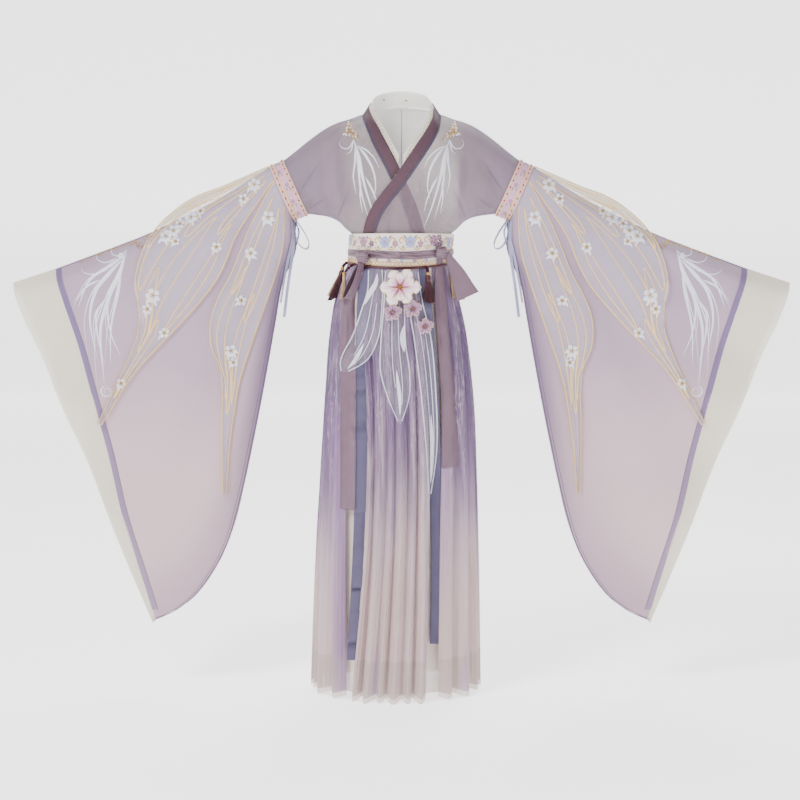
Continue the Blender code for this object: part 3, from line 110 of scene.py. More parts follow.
# Underarm curve, from the top of the waistband to the armlet band
UNDERARM = table("x z", [
    (0.1185, -0.2863), (0.1192, -0.2792), (0.1346, -0.2661), (0.1488, -0.2519), (0.1702, -0.2412),
    (0.194, -0.2365), (0.2238, -0.2329)])

# Lower edge of the hanging sleeve, from the armlet band down to its tip
SLEEVE_LOWER = table("x z", [
    (0.2541, -0.248), (0.2418, -0.262), (0.2412, -0.285), (0.2515, -0.3183), (0.272, -0.3563),
    (0.2866, -0.4135), (0.3125, -0.5569), (0.3497, -0.7493), (0.3931, -0.9431), (0.4253, -1.0406),
    (0.4866, -1.1384), (0.544, -1.1874), (0.596, -1.212)])

# Purple stripe and open cuff edge, both from the top line down to the sleeve's tip
STRIPE = table("x z", [
    (0.8234, -0.362), (0.7463, -0.6289), (0.7032, -0.8117), (0.6693, -0.9546), (0.596, -1.212)])
CUFF_EDGE = table("x z", [
    (0.9279, -0.3961), (0.884, -0.509), (0.8348, -0.6289), (0.7883, -0.7493), (0.7254, -0.8984),
    (0.6742, -1.0406), (0.6366, -1.1384), (0.603, -1.2205)])

# Inner edge of each front collar band, from the waistband up to the shoulder
LEFT_NECK = table("x z", [
    (-0.0925, -0.2863), (-0.0795, -0.239), (-0.0629, -0.2095), (-0.0419, -0.181), (-0.0211, -0.1562),
    (-0.0027, -0.1298), (0.0167, -0.1019), (0.0404, -0.0661), (0.0624, -0.0315), (0.074, -0.005),
    (0.0784, 0.0177)])
RIGHT_NECK = table("x z", [
    (-0.056, -0.2863), (-0.0351, -0.2163), (-0.0102, -0.1604), (0.0101, -0.118), (0.0339, -0.0725),
    (0.0606, -0.0211), (0.072, -0.001), (0.0784, 0.0177)])

# Each front, its side and neck edge, and whether it is the one that lies on top
FRONTS = (("left", 1, LEFT_NECK, True), ("right", -1, RIGHT_NECK, False))

# Depth of the body form at mid height of the chest, from the middle out to the armlet
CHEST = table("x front back", [
    (0.0, 0.108, 0.094), (0.08, 0.106, 0.094), (0.12, 0.094, 0.086), (0.17, 0.074, 0.07),
    (0.23, 0.052, 0.05), (0.26, 0.046, 0.046)])

# Sections of the outer skirt: half width and middle in X, half depth in Y, fold height
SKIRT = table("z half_width half_depth middle fold", [
    (-0.346, 0.1238, 0.1088, -0.003, 0.0012), (-0.4016, 0.1396, 0.117, -0.011, 0.003),
    (-0.4612, 0.156, 0.126, -0.0108, 0.005), (-0.5569, 0.168, 0.139, -0.0072, 0.0075),
    (-0.677, 0.179, 0.148, -0.006, 0.009), (-0.9431, 0.1925, 0.16, -0.0084, 0.011),
    (-1.2365, 0.203, 0.169, -0.0133, 0.013), (-1.3844, 0.2065, 0.172, -0.0133, 0.014)])

# Edges of the two front slits, as degrees round from the middle of the front
SLITS = table("z right_outer right_inner left_inner left_outer", [
    (-0.346, -47.0, -33.0, 25.0, 37.0), (-0.5, -50.0, -31.5, 24.0, 38.5),
    (-0.677, -48.0, -27.0, 23.5, 36.5), (-0.943, -44.0, -25.0, 23.5, 34.0),
    (-1.237, -39.5, -30.0, 22.5, 32.5), (-1.384, -38.0, -33.5, 22.0, 32.0)])


def bent(ends, tangents, reach, t):
    """Values on the cubic between two ends, at shares t of its reach."""
    return (ends[0] * (1 + 2 * t) * (1 - t) ** 2 + ends[1] * t * t * (3 - 2 * t)
            + reach * (tangents[0] * t * (1 - t) ** 2 - tangents[1] * t * t * (1 - t)))


def smooth(places, values, at):
    """A smooth curve through the values that never swings past them (monotone cubic)."""
    if places[0] > places[-1]:
        places = places[::-1]
        values = values[::-1]
    at = np.clip(np.asarray(at, float), places[0], places[-1])
    step = np.diff(places)
    slope = np.diff(values) / step
    tangent = np.concatenate([[slope[0]], (slope[:-1] + slope[1:]) / 2, [slope[-1]]])
    for part, steep in enumerate(slope):
        for end in (part, part + 1):
            tangent[end] = steep * min(max(tangent[end] / steep, 0.0), 3.0) if steep else 0.0
    span = np.clip(np.searchsorted(places, at, side="right") - 1, 0, len(slope) - 1)
    t = (at - places[span]) / step[span]
    return bent((values[span], values[span + 1]), (tangent[span], tangent[span + 1]), step[span], t)


def turns(count):
    """Angles at even steps round a circle."""
    return np.arange(count) * 2 * math.pi / count


def ease(value, start, end):
    """0 before start, 1 after end, smooth between."""
    t = np.clip((np.asarray(value, float) - start) / (end - start), 0.0, 1.0)
    return t * t * (3 - 2 * t)


def unit(rows):
    """Rows of vectors, each brought to length 1."""
    return rows / np.linalg.norm(rows, axis=1)[:, None]


def curve(points, shares):
    """Points on a smooth curve through the given points, at shares of its length."""
    points = np.array(points, float)
    steps = np.linalg.norm(np.diff(points, axis=0), axis=1)
    length = np.concatenate([[0.0], np.cumsum(steps)])
    previous = np.vstack([2 * points[0] - points[1], points[:-1]])
    following = np.vstack([points[1:], 2 * points[-1] - points[-2]])
    before = np.concatenate([[steps[0]], steps])
    after = np.concatenate([steps, [steps[-1]]])
    tangent = (following - previous) / (before + after)[:, None]
    at = np.asarray(shares, float) * length[-1]
    span = np.clip(np.searchsorted(length, at, side="right") - 1, 0, len(steps) - 1)
    reach = steps[span][:, None]
    t = (at - length[span])[:, None] / reach
    return bent((points[span], points[span + 1]), (tangent[span], tangent[span + 1]), reach, t)


def outline(line):
    """The x and z columns of a table as one list of points."""
    return np.column_stack([line["x"], line["z"]])


def through(points, count, loop=False):
    """Rows of points at even steps on a smooth surface through the given rows."""
    size = len(points)
    at = np.linspace(0, size, count, endpoint=False) if loop else np.linspace(0, size - 1, count)
    start = np.minimum(at.astype(int), size - 1 if loop else size - 2)
    t = (at - start).reshape(-1, *[1] * (points.ndim - 1))
    if loop:
        a, b, c, d = (points[(start + step) % size] for step in (-1, 0, 1, 2))
    else:
        padded = np.concatenate([2 * points[:1] - points[1:2], points, 2 * points[-1:] - points[-2:-1]])
        a, b, c, d = (padded[start + step] for step in (0, 1, 2, 3))
    return b + t / 2 * (c - a + t * (2 * a - 5 * b + 4 * c - d + t * (3 * (b - c) + d - a)))


def refine(grid, rows, columns, loop=False):
    """A fine grid of points on the smooth surface through a coarse one, [row][column]."""
    grid = through(np.asarray(grid, float), rows)
    return through(grid.swapaxes(0, 1), columns, loop).swapaxes(0, 1)


def shares(grid):
    """Share of the way down and across for every point of a grid."""
    rows, columns = grid.shape[:2]
    return np.meshgrid(np.linspace(0, 1, rows), np.linspace(0, 1, columns), indexing="ij")


def normals(grid, loop=False):
    """Unit normals of a grid of points."""
    if loop:
        across = np.roll(grid, -1, axis=1) - np.roll(grid, 1, axis=1)
    else:
        across = np.gradient(grid, axis=1)
    way = np.cross(across, np.gradient(grid, axis=0))
    return way / np.maximum(np.linalg.norm(way, axis=2, keepdims=True), 1e-12)


def facing(grid, side, loop=False):
    """Normals of a grid that point to its outside: FRONT, BACK or "round" the middle."""
    way = normals(grid, loop)
    if isinstance(side, str):
        out = grid - grid.reshape(-1, 3).mean(axis=0)
        out[:, :, 2] = 0
        turned = (way * out).sum() < 0
    else:
        turned = (way[:, :, 1] * side).sum() < 0
    return -way if turned else way


def place(points, side):
    """The same points on the wearer's left (+1) or right (-1)."""
    points = np.array(points, float)
    points[..., 0] *= side
    return points


def keep(name, points, faces, finish, uv=None):
    """One shown object on the root body, from points, faces and the name of its finish."""
    mesh = bpy.data.meshes.new(name)
    mesh.from_pydata([tuple(p) for p in points], [], [tuple(int(i) for i in f) for f in faces])
    mesh.shade_smooth()
    mesh.materials.append(FINISH[finish])
    if uv is not None:
        corner = np.empty(len(mesh.loops), np.int32)
        mesh.loops.foreach_get("vertex_index", corner)
        for layer, values in uv.items():
            mesh.uv_layers.new(name=layer).data.foreach_set("uv", values[corner].astype(np.float32).ravel())
    piece = bpy.data.objects.new(name, mesh)
    bpy.context.scene.collection.objects.link(piece)
    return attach(piece, "root")


# The least width that a sheet's flat size is given, and the least share of that size that its area is taken
# to fill
NARROWEST = 0.01
LEAST_FILLED = 0.3


def spread(grid, loop):
    """Widest and longest way over a grid of cloth in metres, and its area in square metres."""
    rows = np.concatenate([grid, grid[:, :1]], axis=1) if loop else grid
    across = np.diff(rows, axis=1)
    down = np.diff(rows, axis=0)
    area = np.linalg.norm(np.cross(across[:-1], down[:, :-1]), axis=2).sum()
    return (np.linalg.norm(across, axis=2).sum(axis=1).max(),
            np.linalg.norm(down, axis=2).sum(axis=0).max(), area)


def cloth(name, grid, side, finish, solids=(), loop=False, thick=0.0, held="hung"):
    """A sheet of cloth through a grid of points, which stands for the solids that it names.

    Its map "cut" is in metres along the cloth and "share" from 0 to 1. Its folds are all in the
    grid, so the flat size that it is cut to is the way over them. It works that size out, with its
    area, unless it is a tied lump, held by nothing.
    """
    rows, columns = grid.shape[:2]
    way = normals(grid, loop)
    turned = (way * facing(grid, side, loop)).sum() < 0
    index = np.arange(rows * columns).reshape(rows, columns)
    right = np.roll(index, -1, axis=1) if loop else index[:, 1:]
    left = index if loop else index[:, :-1]
    faces = np.stack([left[:-1], right[:-1], right[1:], left[1:]], axis=2).reshape(-1, 4)
    if turned:
        faces = faces[:, ::-1]
    middle = grid[rows // 2]
    across = np.concatenate([[0], np.cumsum(np.linalg.norm(np.diff(middle, axis=0), axis=1))])
    spine = grid[:, columns // 2]
    down = np.concatenate([[0], np.cumsum(np.linalg.norm(np.diff(spine, axis=0), axis=1))])
    metres = np.stack(np.meshgrid(across, down), axis=2).reshape(-1, 2)
    share = np.stack(shares(grid)[::-1], axis=2).reshape(-1, 2)
    piece = keep(name, grid.reshape(-1, 3), faces, finish, {"cut": metres, "share": share})
    if thick:
        shell = piece.modifiers.new("thickness", "SOLIDIFY")
        shell.thickness = thick
        shell.offset = -1
    if solids:
        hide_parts(*([solids] if isinstance(solids, str) else solids))
    if held is None:
        return piece
    width, length, area = spread(grid, loop)
    flat = [max(math.ceil(reach * 1000) / 1000, NARROWEST) for reach in (width, length)]
    area = max(area, LEAST_FILLED * flat[0] * flat[1])
    return piece


# Finishes

DEEPEN = 1.7


def linear(red, green, blue):
    """A colour seen as 0 to 255, as linear values for a shader, deepened as the view softens colours."""
    grey = (red + green + blue) / 3
    seen = [min(max(grey + (c - grey) * DEEPEN, 0), 255) / 255 for c in (red, green, blue)]
    return tuple(((c + 0.055) / 1.055) ** 2.4 for c in seen) + (1.0,)


class Amount:
    """A number that changes over a surface. Arithmetic on it adds Math nodes."""

    def __init__(self, paint, socket):
        self.paint = paint
        self.socket = socket

    def math(self, operation, *values):
        inputs = dict(enumerate(values))
        return self.paint.amount("Math", {"operation": operation}, inputs)

    def __add__(self, other):
        return self.math("ADD", self, other)

    def __sub__(self, other):
        return self.math("SUBTRACT", self, other)

    def __rsub__(self, other):
        return self.math("SUBTRACT", other, self)

    def __mul__(self, other):
        return self.math("MULTIPLY", self, other)

    __radd__ = __add__
    __rmul__ = __mul__

    def sine(self):
        return self.math("SINE", self)

    def most(self, other):
        return self.math("MAXIMUM", self, other)

    def away_from(self, other):
        return self.math("ABSOLUTE", self - other)

    def ramp(self, start, end, low=0.0, high=1.0):
        """low before start, high after end, smooth between."""
        return self.paint.amount("MapRange", {"interpolation_type": "SMOOTHSTEP"}, {
            "Value": self, "From Min": start, "From Max": end, "To Min": low, "To Max": high})

    def fall(self, start, end):
        """1 before start, 0 after end, smooth between."""
        return self.ramp(start, end, 1.0, 0.0)


class Paint:
    """The nodes of one finish."""

    def __init__(self, name, **constants):
        self.finish = bpy.data.materials.new(name)
        self.finish.use_nodes = True
        self.tree = self.finish.node_tree
        self.shader = self.tree.nodes["Principled BSDF"]
        for word, value in constants.items():
            self.shader.inputs[word.replace("_", " ").title()].default_value = value

    def node(self, kind, settings=None, inputs=None, output=0):
        """Add a shader node by its kind, set it up, fill its sockets and return one of its outputs."""
        made = self.tree.nodes.new("ShaderNode" + kind)
        for word, value in (settings or {}).items():
            if word == "stops":
                while len(made.color_ramp.elements) < len(value):
                    made.color_ramp.elements.new(0.5)
                for element, (position, colour) in zip(made.color_ramp.elements, value):
                    element.position = position
                    element.color = linear(*colour)
            else:
                setattr(made, word, value)
        for key, value in (inputs or {}).items():
            if isinstance(value, Amount):
                value = value.socket
            if isinstance(value, bpy.types.NodeSocket):
                self.tree.links.new(value, made.inputs[key])
            else:
                made.inputs[key].default_value = value
        return made.outputs[output]

    def amount(self, kind, settings=None, inputs=None):
        return Amount(self, self.node(kind, settings, inputs))

    def position(self):
        """Where a point is, in metres in the row frame."""
        return self.node("TexCoord", output="Object")

    def map(self, layer):
        return self.node("UVMap", {"uv_map": layer})

    def axes(self, vector):
        """The three numbers of a vector."""
        split = self.node("SeparateXYZ", inputs={0: vector}).node
        return [Amount(self, socket) for socket in split.outputs]

    def stretch(self, vector, *scale):
        return self.node("VectorMath", {"operation": "MULTIPLY"}, {0: vector, 1: scale})

    def noise(self, vector, scale, detail=2.0, roughness=0.5, warp=0.0):
        return self.amount("TexNoise", None, {
            "Vector": vector, "Scale": scale, "Detail": detail, "Roughness": roughness, "Distortion": warp})

    def grain(self, vector, scales, *words):
        """Noise that is drawn out by a scale along each axis."""
        return self.noise(self.stretch(vector, *scales), 1.0, *words)

    def mix(self, share, one, two):
        """A colour between two others, each three numbers from 0 to 255 or a socket."""
        colours = [linear(*c) if isinstance(c, tuple) else c for c in (one, two)]
        return self.node("Mix", {"data_type": "RGBA", "clamp_factor": True},
                         {0: share, 6: colours[0], 7: colours[1]}, output=2)

    def blend(self, value, *stops):
        """A colour from stops along a number."""
        return self.node("ValToRGB", {"stops": stops}, {0: value})

    def bump(self, height, strength, distance=0.001, under=None):
        inputs = {"Height": height, "Strength": strength, "Distance": distance}
        if under is not None:
            inputs["Normal"] = under
        return self.node("Bump", None, inputs)

    def wear(self, **sockets):
        """Join what changes over the surface to the shader, and hand back the finish."""
        for word, value in sockets.items():
            if isinstance(value, Amount):
                value = value.socket
            self.tree.links.new(value, self.shader.inputs[word.replace("_", " ").title()])
        return self.finish

    def weave(self, vector, pitch, strength):
        """Threads both ways, a little uneven, as a bump."""
        across, down, _ = self.axes(vector)
        turn = 2 * math.pi / pitch
        uneven = self.noise(vector, 0.35 / pitch, 1.0)
        height = (across * turn).sine() + (down * turn).sine() + 2.0 * uneven
        return self.bump(height, strength, 0.0002)


# Shapes of the jacket

def belt_depth(x):
    """Half depth of the body form at the waist."""
    return BODY_HALF_DEPTH * np.sqrt(np.clip(1 - (np.abs(x) / (BODY_HALF_WIDTH + 0.0004)) ** 2, 0, 1))


def chest_depth(x, z, side):
    """How far the front or back of the body form stands from the plane of the shoulders."""
    x = np.abs(np.asarray(x, float))
    top = smooth(TOP_LINE["x"], TOP_LINE["z"], x)
    if side == "back":
        rise = np.clip(1 - (x / BAND_END[0]) ** 2, 0, 1)
        top = np.where(x < BAND_END[0], BAND_END[1] + 0.0885 * rise, top)
    bottom = smooth(UNDERARM["x"][1:], UNDERARM["z"][1:], x)
    half = (top - bottom) / 2
    level = np.clip((z - (top + bottom) / 2) / half, -1, 1)
    deepest = smooth(CHEST["x"], CHEST[side], x)
    power = np.where(level < 0, 1.0 - 0.46 * ease(x, 0.085, 0.15), 0.64 - 0.1 * ease(x, 0.1, 0.2))
    waist = np.where(level < 0, belt_depth(x) / deepest, 0.0)
    return deepest * (waist + (1 - waist) * (1 - level ** 2) ** power)


def armlet_depth(share):
    """Half depth of the upper sleeve where it meets the armlet, by share of the way down."""
    return ARMLET_HALF_DEPTH * np.sqrt(np.clip(1 - (2 * np.asarray(share) - 1) ** 2, 0, 1))


def shoulder_points(start, count):
    """Points along the top line from x = start out to the armlet."""
    reach = np.linspace(start, ARMLET_TOP[0], count)
    return np.column_stack([reach, smooth(TOP_LINE["x"], TOP_LINE["z"], reach)])


# Rows of both panels from the top line down, where the chest's depth turns into the armlet's, the
# depth from which a panel takes creases, and how strong they are on the back
FRONT_ROWS = (0.0, 0.12, 0.28, 0.46, 0.63, 0.78, 0.9, 1.0)
BACK_ROWS = (0.0, 0.1, 0.26, 0.46, 0.66, 0.85, 1.0)
UPPER_ARM = (0.12, 0.262)
CREASED_FROM = 0.012
BACK_CREASES = 0.6

# Creases that the arm drags out of the armpit: start, end, depth and half width
DRAG_LINES = table("x0 z0 x1 z1 depth width", [
    (0.236, -0.18, 0.19, -0.112, 0.0068, 0.01), (0.216, -0.222, 0.176, -0.196, 0.0056, 0.008),
    (0.15, -0.243, 0.118, -0.175, 0.0045, 0.01)])


def drag(x, z):
    """Depth of the drag lines at a point of the upper sleeve."""
    total = np.zeros_like(x)
    for x0, z0, x1, z1, depth, width in zip(*DRAG_LINES.values()):
        way = np.array([x1 - x0, z1 - z0])
        length = np.linalg.norm(way)
        way = way / length
        along = (x - x0) * way[0] + (z - z0) * way[1]
        off = (x - x0) * way[1] - (z - z0) * way[0]
        fade = ease(along, -0.02, 0.015) * (1 - ease(along, length - 0.02, length + 0.02))
        total += depth * fade * np.exp(-(off / width) ** 2)
    return total


def front_depth(flat, lifted):
    """How far the points of a jacket front stand forward, with the lift over the other front."""
    x = flat[:, :, 0]
    z = flat[:, :, 1]
    depth = chest_depth(x, z, "front")
    if lifted:
        depth = depth + OVERLAP_LIFT * (1 - ease(x, 0.07, 0.115)) * (1 - ease(z, -0.1, -0.045))
    return depth


def neck_strip(neck):
    """Inner edge, middle and outer edge of a front collar band, flat in x and z."""
    edge = curve(outline(neck), np.linspace(0, 1, NECK_SPANS + 1) ** 0.92)
    way = unit(np.gradient(edge, axis=0))
    inward = np.column_stack([way[:, 1], -way[:, 0]]) * COLLAR_WIDTH
    inward[0] = (COLLAR_WIDTH / way[0, 1], 0.0)
    turn = ease(np.linspace(0, 1, NECK_SPANS + 1), 0.72, 1.0)[:, None]
    inward = inward * (1 - turn) + (BAND_END - edge[-1]) * turn
    return [edge + inward * share for share in (0.0, 0.5, 1.0)], inward


def seam_shares(flat):
    """How far down the armlet seam each row ends, from 0 at its top."""
    return np.linalg.norm(flat[:, -1] - ARMLET_TOP, axis=1) / np.linalg.norm(ARMLET_TOP - ARMLET_FOOT)


def to_armlet(flat, depth):
    """Depths of a panel, brought from the chest's to the armlet's on their way out along the arm."""
    out = ease(flat[:, :, 0], *UPPER_ARM)
    out[:, -1] = 1.0
    return depth * (1 - out) + armlet_depth(seam_shares(flat))[:, None] * out


def front_panel(neck, lifted):
    """Grids of one jacket front and of its collar band, which ends at the panel's edge."""
    strip, inward = neck_strip(neck)
    shoulder = shoulder_points(BAND_END[0], SLEEVE_TOP_SPANS + 1)
    top = np.vstack([strip[2] + unit(inward) * SEAM_GAP, shoulder[1:]])
    under = curve(outline(UNDERARM)[1:], np.linspace(0, 1, len(top) - 1))
    low = np.vstack([outline(UNDERARM)[:1], under])
    flat = np.array([top * (1 - share) + low * share for share in FRONT_ROWS])
    x = flat[:, :, 0]
    z = flat[:, :, 1]
    depth = to_armlet(flat, front_depth(flat, lifted))
    depth[0, NECK_SPANS:] = 0.0
    depth[-1, 1:] = 0.0
    inside = (depth > CREASED_FROM) * (1 - ease(seam_shares(flat), 0.9, 1.0))[:, None]
    depth = depth - drag(x, z) * inside
    panel = np.dstack([x, -depth - SEAM_GAP / 2, z])
    strip = np.array(strip)
    band = np.dstack([strip[:, :, 0], -front_depth(strip, lifted) - SEAM_GAP / 2, strip[:, :, 1]])
    return panel, band


def back_panel():
    """Grid of one jacket back, from the centre back seam out to the armlet."""
    reach = BAND_END[0]
    across = reach * np.sin(np.linspace(0, 1, BACK_NECK_SPANS + 1) * math.pi / 2)
    rise = BACK_NECK_TOP + (BAND_END[1] - BACK_NECK_TOP) * (across / reach) ** 2
    shoulder = shoulder_points(reach, SLEEVE_TOP_SPANS + 2)
    top = np.vstack([np.column_stack([across, rise]), shoulder[1:]])
    angle = np.linspace(0, 0.96, BACK_NECK_SPANS + 1) * math.pi / 2
    waist = np.column_stack([BODY_HALF_WIDTH * np.sin(angle),
                             np.full(BACK_NECK_SPANS + 1, BELT_TOP - JACKET_TUCK)])
    under = curve(outline(UNDERARM)[1:], np.linspace(0, 1, len(top) - BACK_NECK_SPANS - 1))
    low = np.vstack([waist, under])
    flat = np.array([top * (1 - share) + low * share for share in BACK_ROWS])
    x = flat[:, :, 0]
    z = flat[:, :, 1]
    depth = to_armlet(flat, chest_depth(x, z, "back"))
    depth[0, BACK_NECK_SPANS:] = 0.0
    depth[-1, BACK_NECK_SPANS + 1:] = 0.0
    depth = depth - BACK_CREASES * drag(x, z) * (depth > CREASED_FROM)
    x = x + np.where(np.arange(len(top)) == 0, SEAM_GAP / 2, 0.0)
    return np.dstack([x, depth + SEAM_GAP / 2, z])


def neck_ring(turn, half_width, depth, side_height, back_height):
    """A curve round the back of the neck from shoulder to shoulder."""
    share = np.cos(turn)
    return np.column_stack([half_width * np.sin(turn), SEAM_GAP + depth * share,
                            side_height + (back_height - side_height) * share ** 0.9])


# Shapes of the sleeves

SLEEVE_ROWS = (0.0, 0.04, 0.115, 0.22, 0.36, 0.53, 0.71, 0.87, 1.0)

# Where the folds of a hanging sleeve start, inside the armlet
FOLD_ROOT = (0.235, -0.085)

# Folds that fall from the armlet: degrees below level, height, half width in degrees
SLEEVE_FOLDS = table("angle height width", [
    (31.0, 0.006, 4.0), (39.5, -0.009, 4.6), (48.0, 0.012, 4.2), (56.5, -0.01, 3.8), (63.5, 0.011, 3.4),
    (70.0, -0.008, 3.0), (75.5, 0.006, 2.6)])


def sleeve_wave(x, z):
    """How far the folds carry both layers of a sleeve to the front (+) or back (-)."""
    out = x - FOLD_ROOT[0]
    fall = FOLD_ROOT[1] - z
    angle = np.degrees(np.arctan2(fall, out))
    total = np.zeros_like(x)
    for middle, height, width in zip(*SLEEVE_FOLDS.values()):
        total += height * np.exp(-((angle - middle) / width) ** 2)
    return total * ease(np.hypot(out, fall), 0.14, 0.62)


def sleeve_depth(across, down, length):
    """Half depth of the hollow sleeve. The arm rounds its top, and its lower part hangs flat."""
    radius = ARMLET_HALF_DEPTH - 0.01 * ease(across, 0.3, 1.1)
    run = down * length
    rounded = np.sqrt(1 - (1 - np.clip(run / (1.7 * radius), 0, 1)) ** 2)
    fall = 0.3 + 0.7 * np.exp(-(run / 0.27) ** 2)
    closing = np.sqrt(np.clip(1 - down ** 5, 0, 1))
    hanging = radius * rounded * fall * closing
    root = ease(across, 0.0, 0.22)
    return armlet_depth(down) * (1 - root) + hanging * root


def sleeve_grids():
    """Flat x and z, half depth and fold of the sleeve and of its cuff border."""
    across = np.linspace(0, 1, SLEEVE_SPANS + 1) ** 1.1
    down = np.array(SLEEVE_ROWS)
    root_top = ARMLET_TOP + ARM_WAY * (ARMLET_WIDTH + SEAM_GAP)
    root_foot = ARMLET_FOOT + ARM_WAY * (ARMLET_WIDTH + SEAM_GAP)
    line = outline(TOP_LINE)
    line = np.vstack([root_top, line[8:-1]])
    top = curve(line, across)
    lower = outline(SLEEVE_LOWER)
    lower[0] = root_foot
    low = curve(lower, across)
    stripe = curve(outline(STRIPE), down)
    edge = curve(outline(CUFF_EDGE), down)
    flat = top[None] * (1 - down)[:, None, None] + low[None] * down[:, None, None]
    bend = stripe - (stripe[0] * (1 - down)[:, None] + stripe[-1] * down[:, None])
    flat = flat + (across ** 2)[None, :, None] * bend[:, None, :]
    length = np.linalg.norm(top - low, axis=1)
    depth = sleeve_depth(across[None, :], down[:, None], length[None, :])
    gap = np.array([SEAM_GAP, 0.0])
    cuff_across = np.array([0.0, 0.5, 1.0])
    cuff = (stripe + gap)[:, None] * (1 - cuff_across)[None, :, None]
    cuff = cuff + edge[:, None] * cuff_across[None, :, None]
    cuff_depth = sleeve_depth(1 + 0.12 * cuff_across[None, :], down[:, None], length[-1])
    return (flat, depth), (cuff, cuff_depth)


def on_sleeve(flat, depth, face):
    """Points of the front (-1) or back (+1) layer of the left sleeve."""
    x = flat[:, :, 0]
    z = flat[:, :, 1]
    wave = sleeve_wave(x, z)
    # The two layers keep a small gap where they come together at top and lower edge
    apart = np.maximum(depth, SEAM_GAP / 2)
    return np.dstack([x, face * apart - wave, z])


# Free organza wings on the sleeves: two edges, each from the armlet to the tip
WING_UPPER = (
    [(0.3145, -0.12), (0.4222, -0.166), (0.5078, -0.201), (0.5723, -0.255), (0.6035, -0.2972),
     (0.6333, -0.406), (0.618, -0.4645), (0.6349, -0.5368), (0.6692, -0.6175), (0.7281, -0.7354)],
    [(0.301, -0.156), (0.3876, -0.2823), (0.4287, -0.3769), (0.483, -0.448), (0.5393, -0.507),
     (0.64, -0.615), (0.72, -0.739)])
WING_LOWER = (
    [(0.3, -0.158), (0.356, -0.26), (0.4001, -0.3658), (0.4494, -0.4668), (0.4525, -0.5464),
     (0.43, -0.6125), (0.43, -0.6994), (0.43, -0.79), (0.429, -0.904)],
    [(0.276, -0.217), (0.279, -0.3066), (0.3087, -0.407), (0.3547, -0.5368), (0.3854, -0.6275),
     (0.399, -0.7), (0.412, -0.79), (0.421, -0.904)])
WING_BACK = (
    [(0.3145, -0.121), (0.41, -0.205), (0.475, -0.32), (0.5, -0.44), (0.49, -0.57), (0.445, -0.68),
     (0.415, -0.79)],
    [(0.276, -0.217), (0.287, -0.306), (0.312, -0.407), (0.338, -0.5368), (0.348, -0.65), (0.356, -0.73),
     (0.39, -0.795)])

# Each wing with the layer of the sleeve that it lies on
WINGS = {"upper": (WING_UPPER, "front", FRONT), "lower": (WING_LOWER, "front", FRONT),
         "back": (WING_BACK, "back", BACK)}

# Ribbon that hangs from under each armlet band, as two edges too
TIE = (
    [(0.26, -0.248), (0.262, -0.318), (0.274, -0.4), (0.284, -0.478)],
    [(0.252, -0.257), (0.2548, -0.318), (0.2666, -0.4), (0.2766, -0.478)])


# Shapes of the waist and skirt

def belt_foot(turn):
    """Height of the waistband's lower edge, which dips in front."""
    return BELT_BOTTOM - BELT_FRONT_DIP * np.clip(np.cos(turn), 0, 1) ** 1.5


def belt_ring(turn, share, out):
    """Points round the waistband. Turn is 0 in front, share runs from its top to its foot."""
    return np.column_stack([BELT_MIDDLE * share + (BELT_HALF_WIDTH + out) * np.sin(turn),
                            -(BELT_HALF_DEPTH + out) * np.cos(turn),
                            BELT_TOP + (belt_foot(turn) - BELT_TOP) * share])


def skirt_ring(turn, z, inset, fold):
    """Points of the skirt form at angles (degrees from the front) and one height."""
    angle = np.radians(turn)
    half_width = smooth(SKIRT["z"], SKIRT["half_width"], z) - inset
    half_depth = smooth(SKIRT["z"], SKIRT["half_depth"], z) - inset
    middle = smooth(SKIRT["z"], SKIRT["middle"], z)
    x = middle + (half_width + fold) * np.sin(angle)
    y = -(half_depth + fold) * np.cos(angle)
    return np.column_stack([x, y, np.broadcast_to(z, x.shape)])


# Folds of each outer panel: share of the panel's width and height as a share of the section's
PANEL_FOLDS = {
    "front": table("share height", [
        (0.8, 0.75), (1.2, 1.0), (0.8, 0.6), (1.2, 0.95), (0.85, 0.7), (1.1, 1.05)]),
    "left": table("share height", [
        (0.75, 0.6), (1.15, 1.05), (0.85, 0.75), (1.1, 0.9), (0.9, 0.7)]),
    "right": table("share height", [
        (0.9, 0.8), (1.1, 1.05), (0.7, 0.6), (1.2, 0.95), (0.95, 0.75)]),
    "back_left": table("share height", [
        (1.05, 0.9), (0.8, 0.7), (1.15, 1.05), (0.9, 0.65)]),
    "back_right": table("share height", [
        (0.85, 0.75), (1.1, 1.0), (0.95, 0.7), (1.15, 1.05)])}

# Where the side seams are and half the way between two panels, in degrees round from the front
SIDE_SEAM = 118.0
PANEL_GAP = 0.14
SKIRT_HEIGHTS = (-0.42, -0.52, -0.66, -0.84, -1.05, HEM)
FOLD_REST = 0.85


def fold_columns(folds):
    """Places (0 to 1) and heights (-1 to 1) across a panel, four for each fold."""
    width = folds["share"] / folds["share"].sum()
    start = np.concatenate([[0.0], np.cumsum(width)[:-1]])
    places = []
    heights = []
    for left, span, tall in zip(start, width, folds["height"]):
        for share, way in ((0.0, -0.75), (0.22, 0.25), (0.47, 1.0), (0.76, 0.2)):
            places.append(left + share * span)
            heights.append(way * tall)
    return np.array(places + [1.0]), np.array(heights + [-0.5])


def slit(name, z):
    return smooth(SLITS["z"], SLITS[name], z)


def panel_edges(word, z):
    """Start and end of an outer panel in degrees at a height."""
    return {
        "front": (slit("right_inner", z), slit("left_inner", z)),
        "left": (slit("left_outer", z), SIDE_SEAM - PANEL_GAP),
        "back_left": (SIDE_SEAM + PANEL_GAP, 180.0 - PANEL_GAP),
        "back_right": (180.0 + PANEL_GAP, 360.0 - SIDE_SEAM - PANEL_GAP),
        "right": (360.0 - SIDE_SEAM + PANEL_GAP, 360.0 + slit("right_outer", z))}[word]


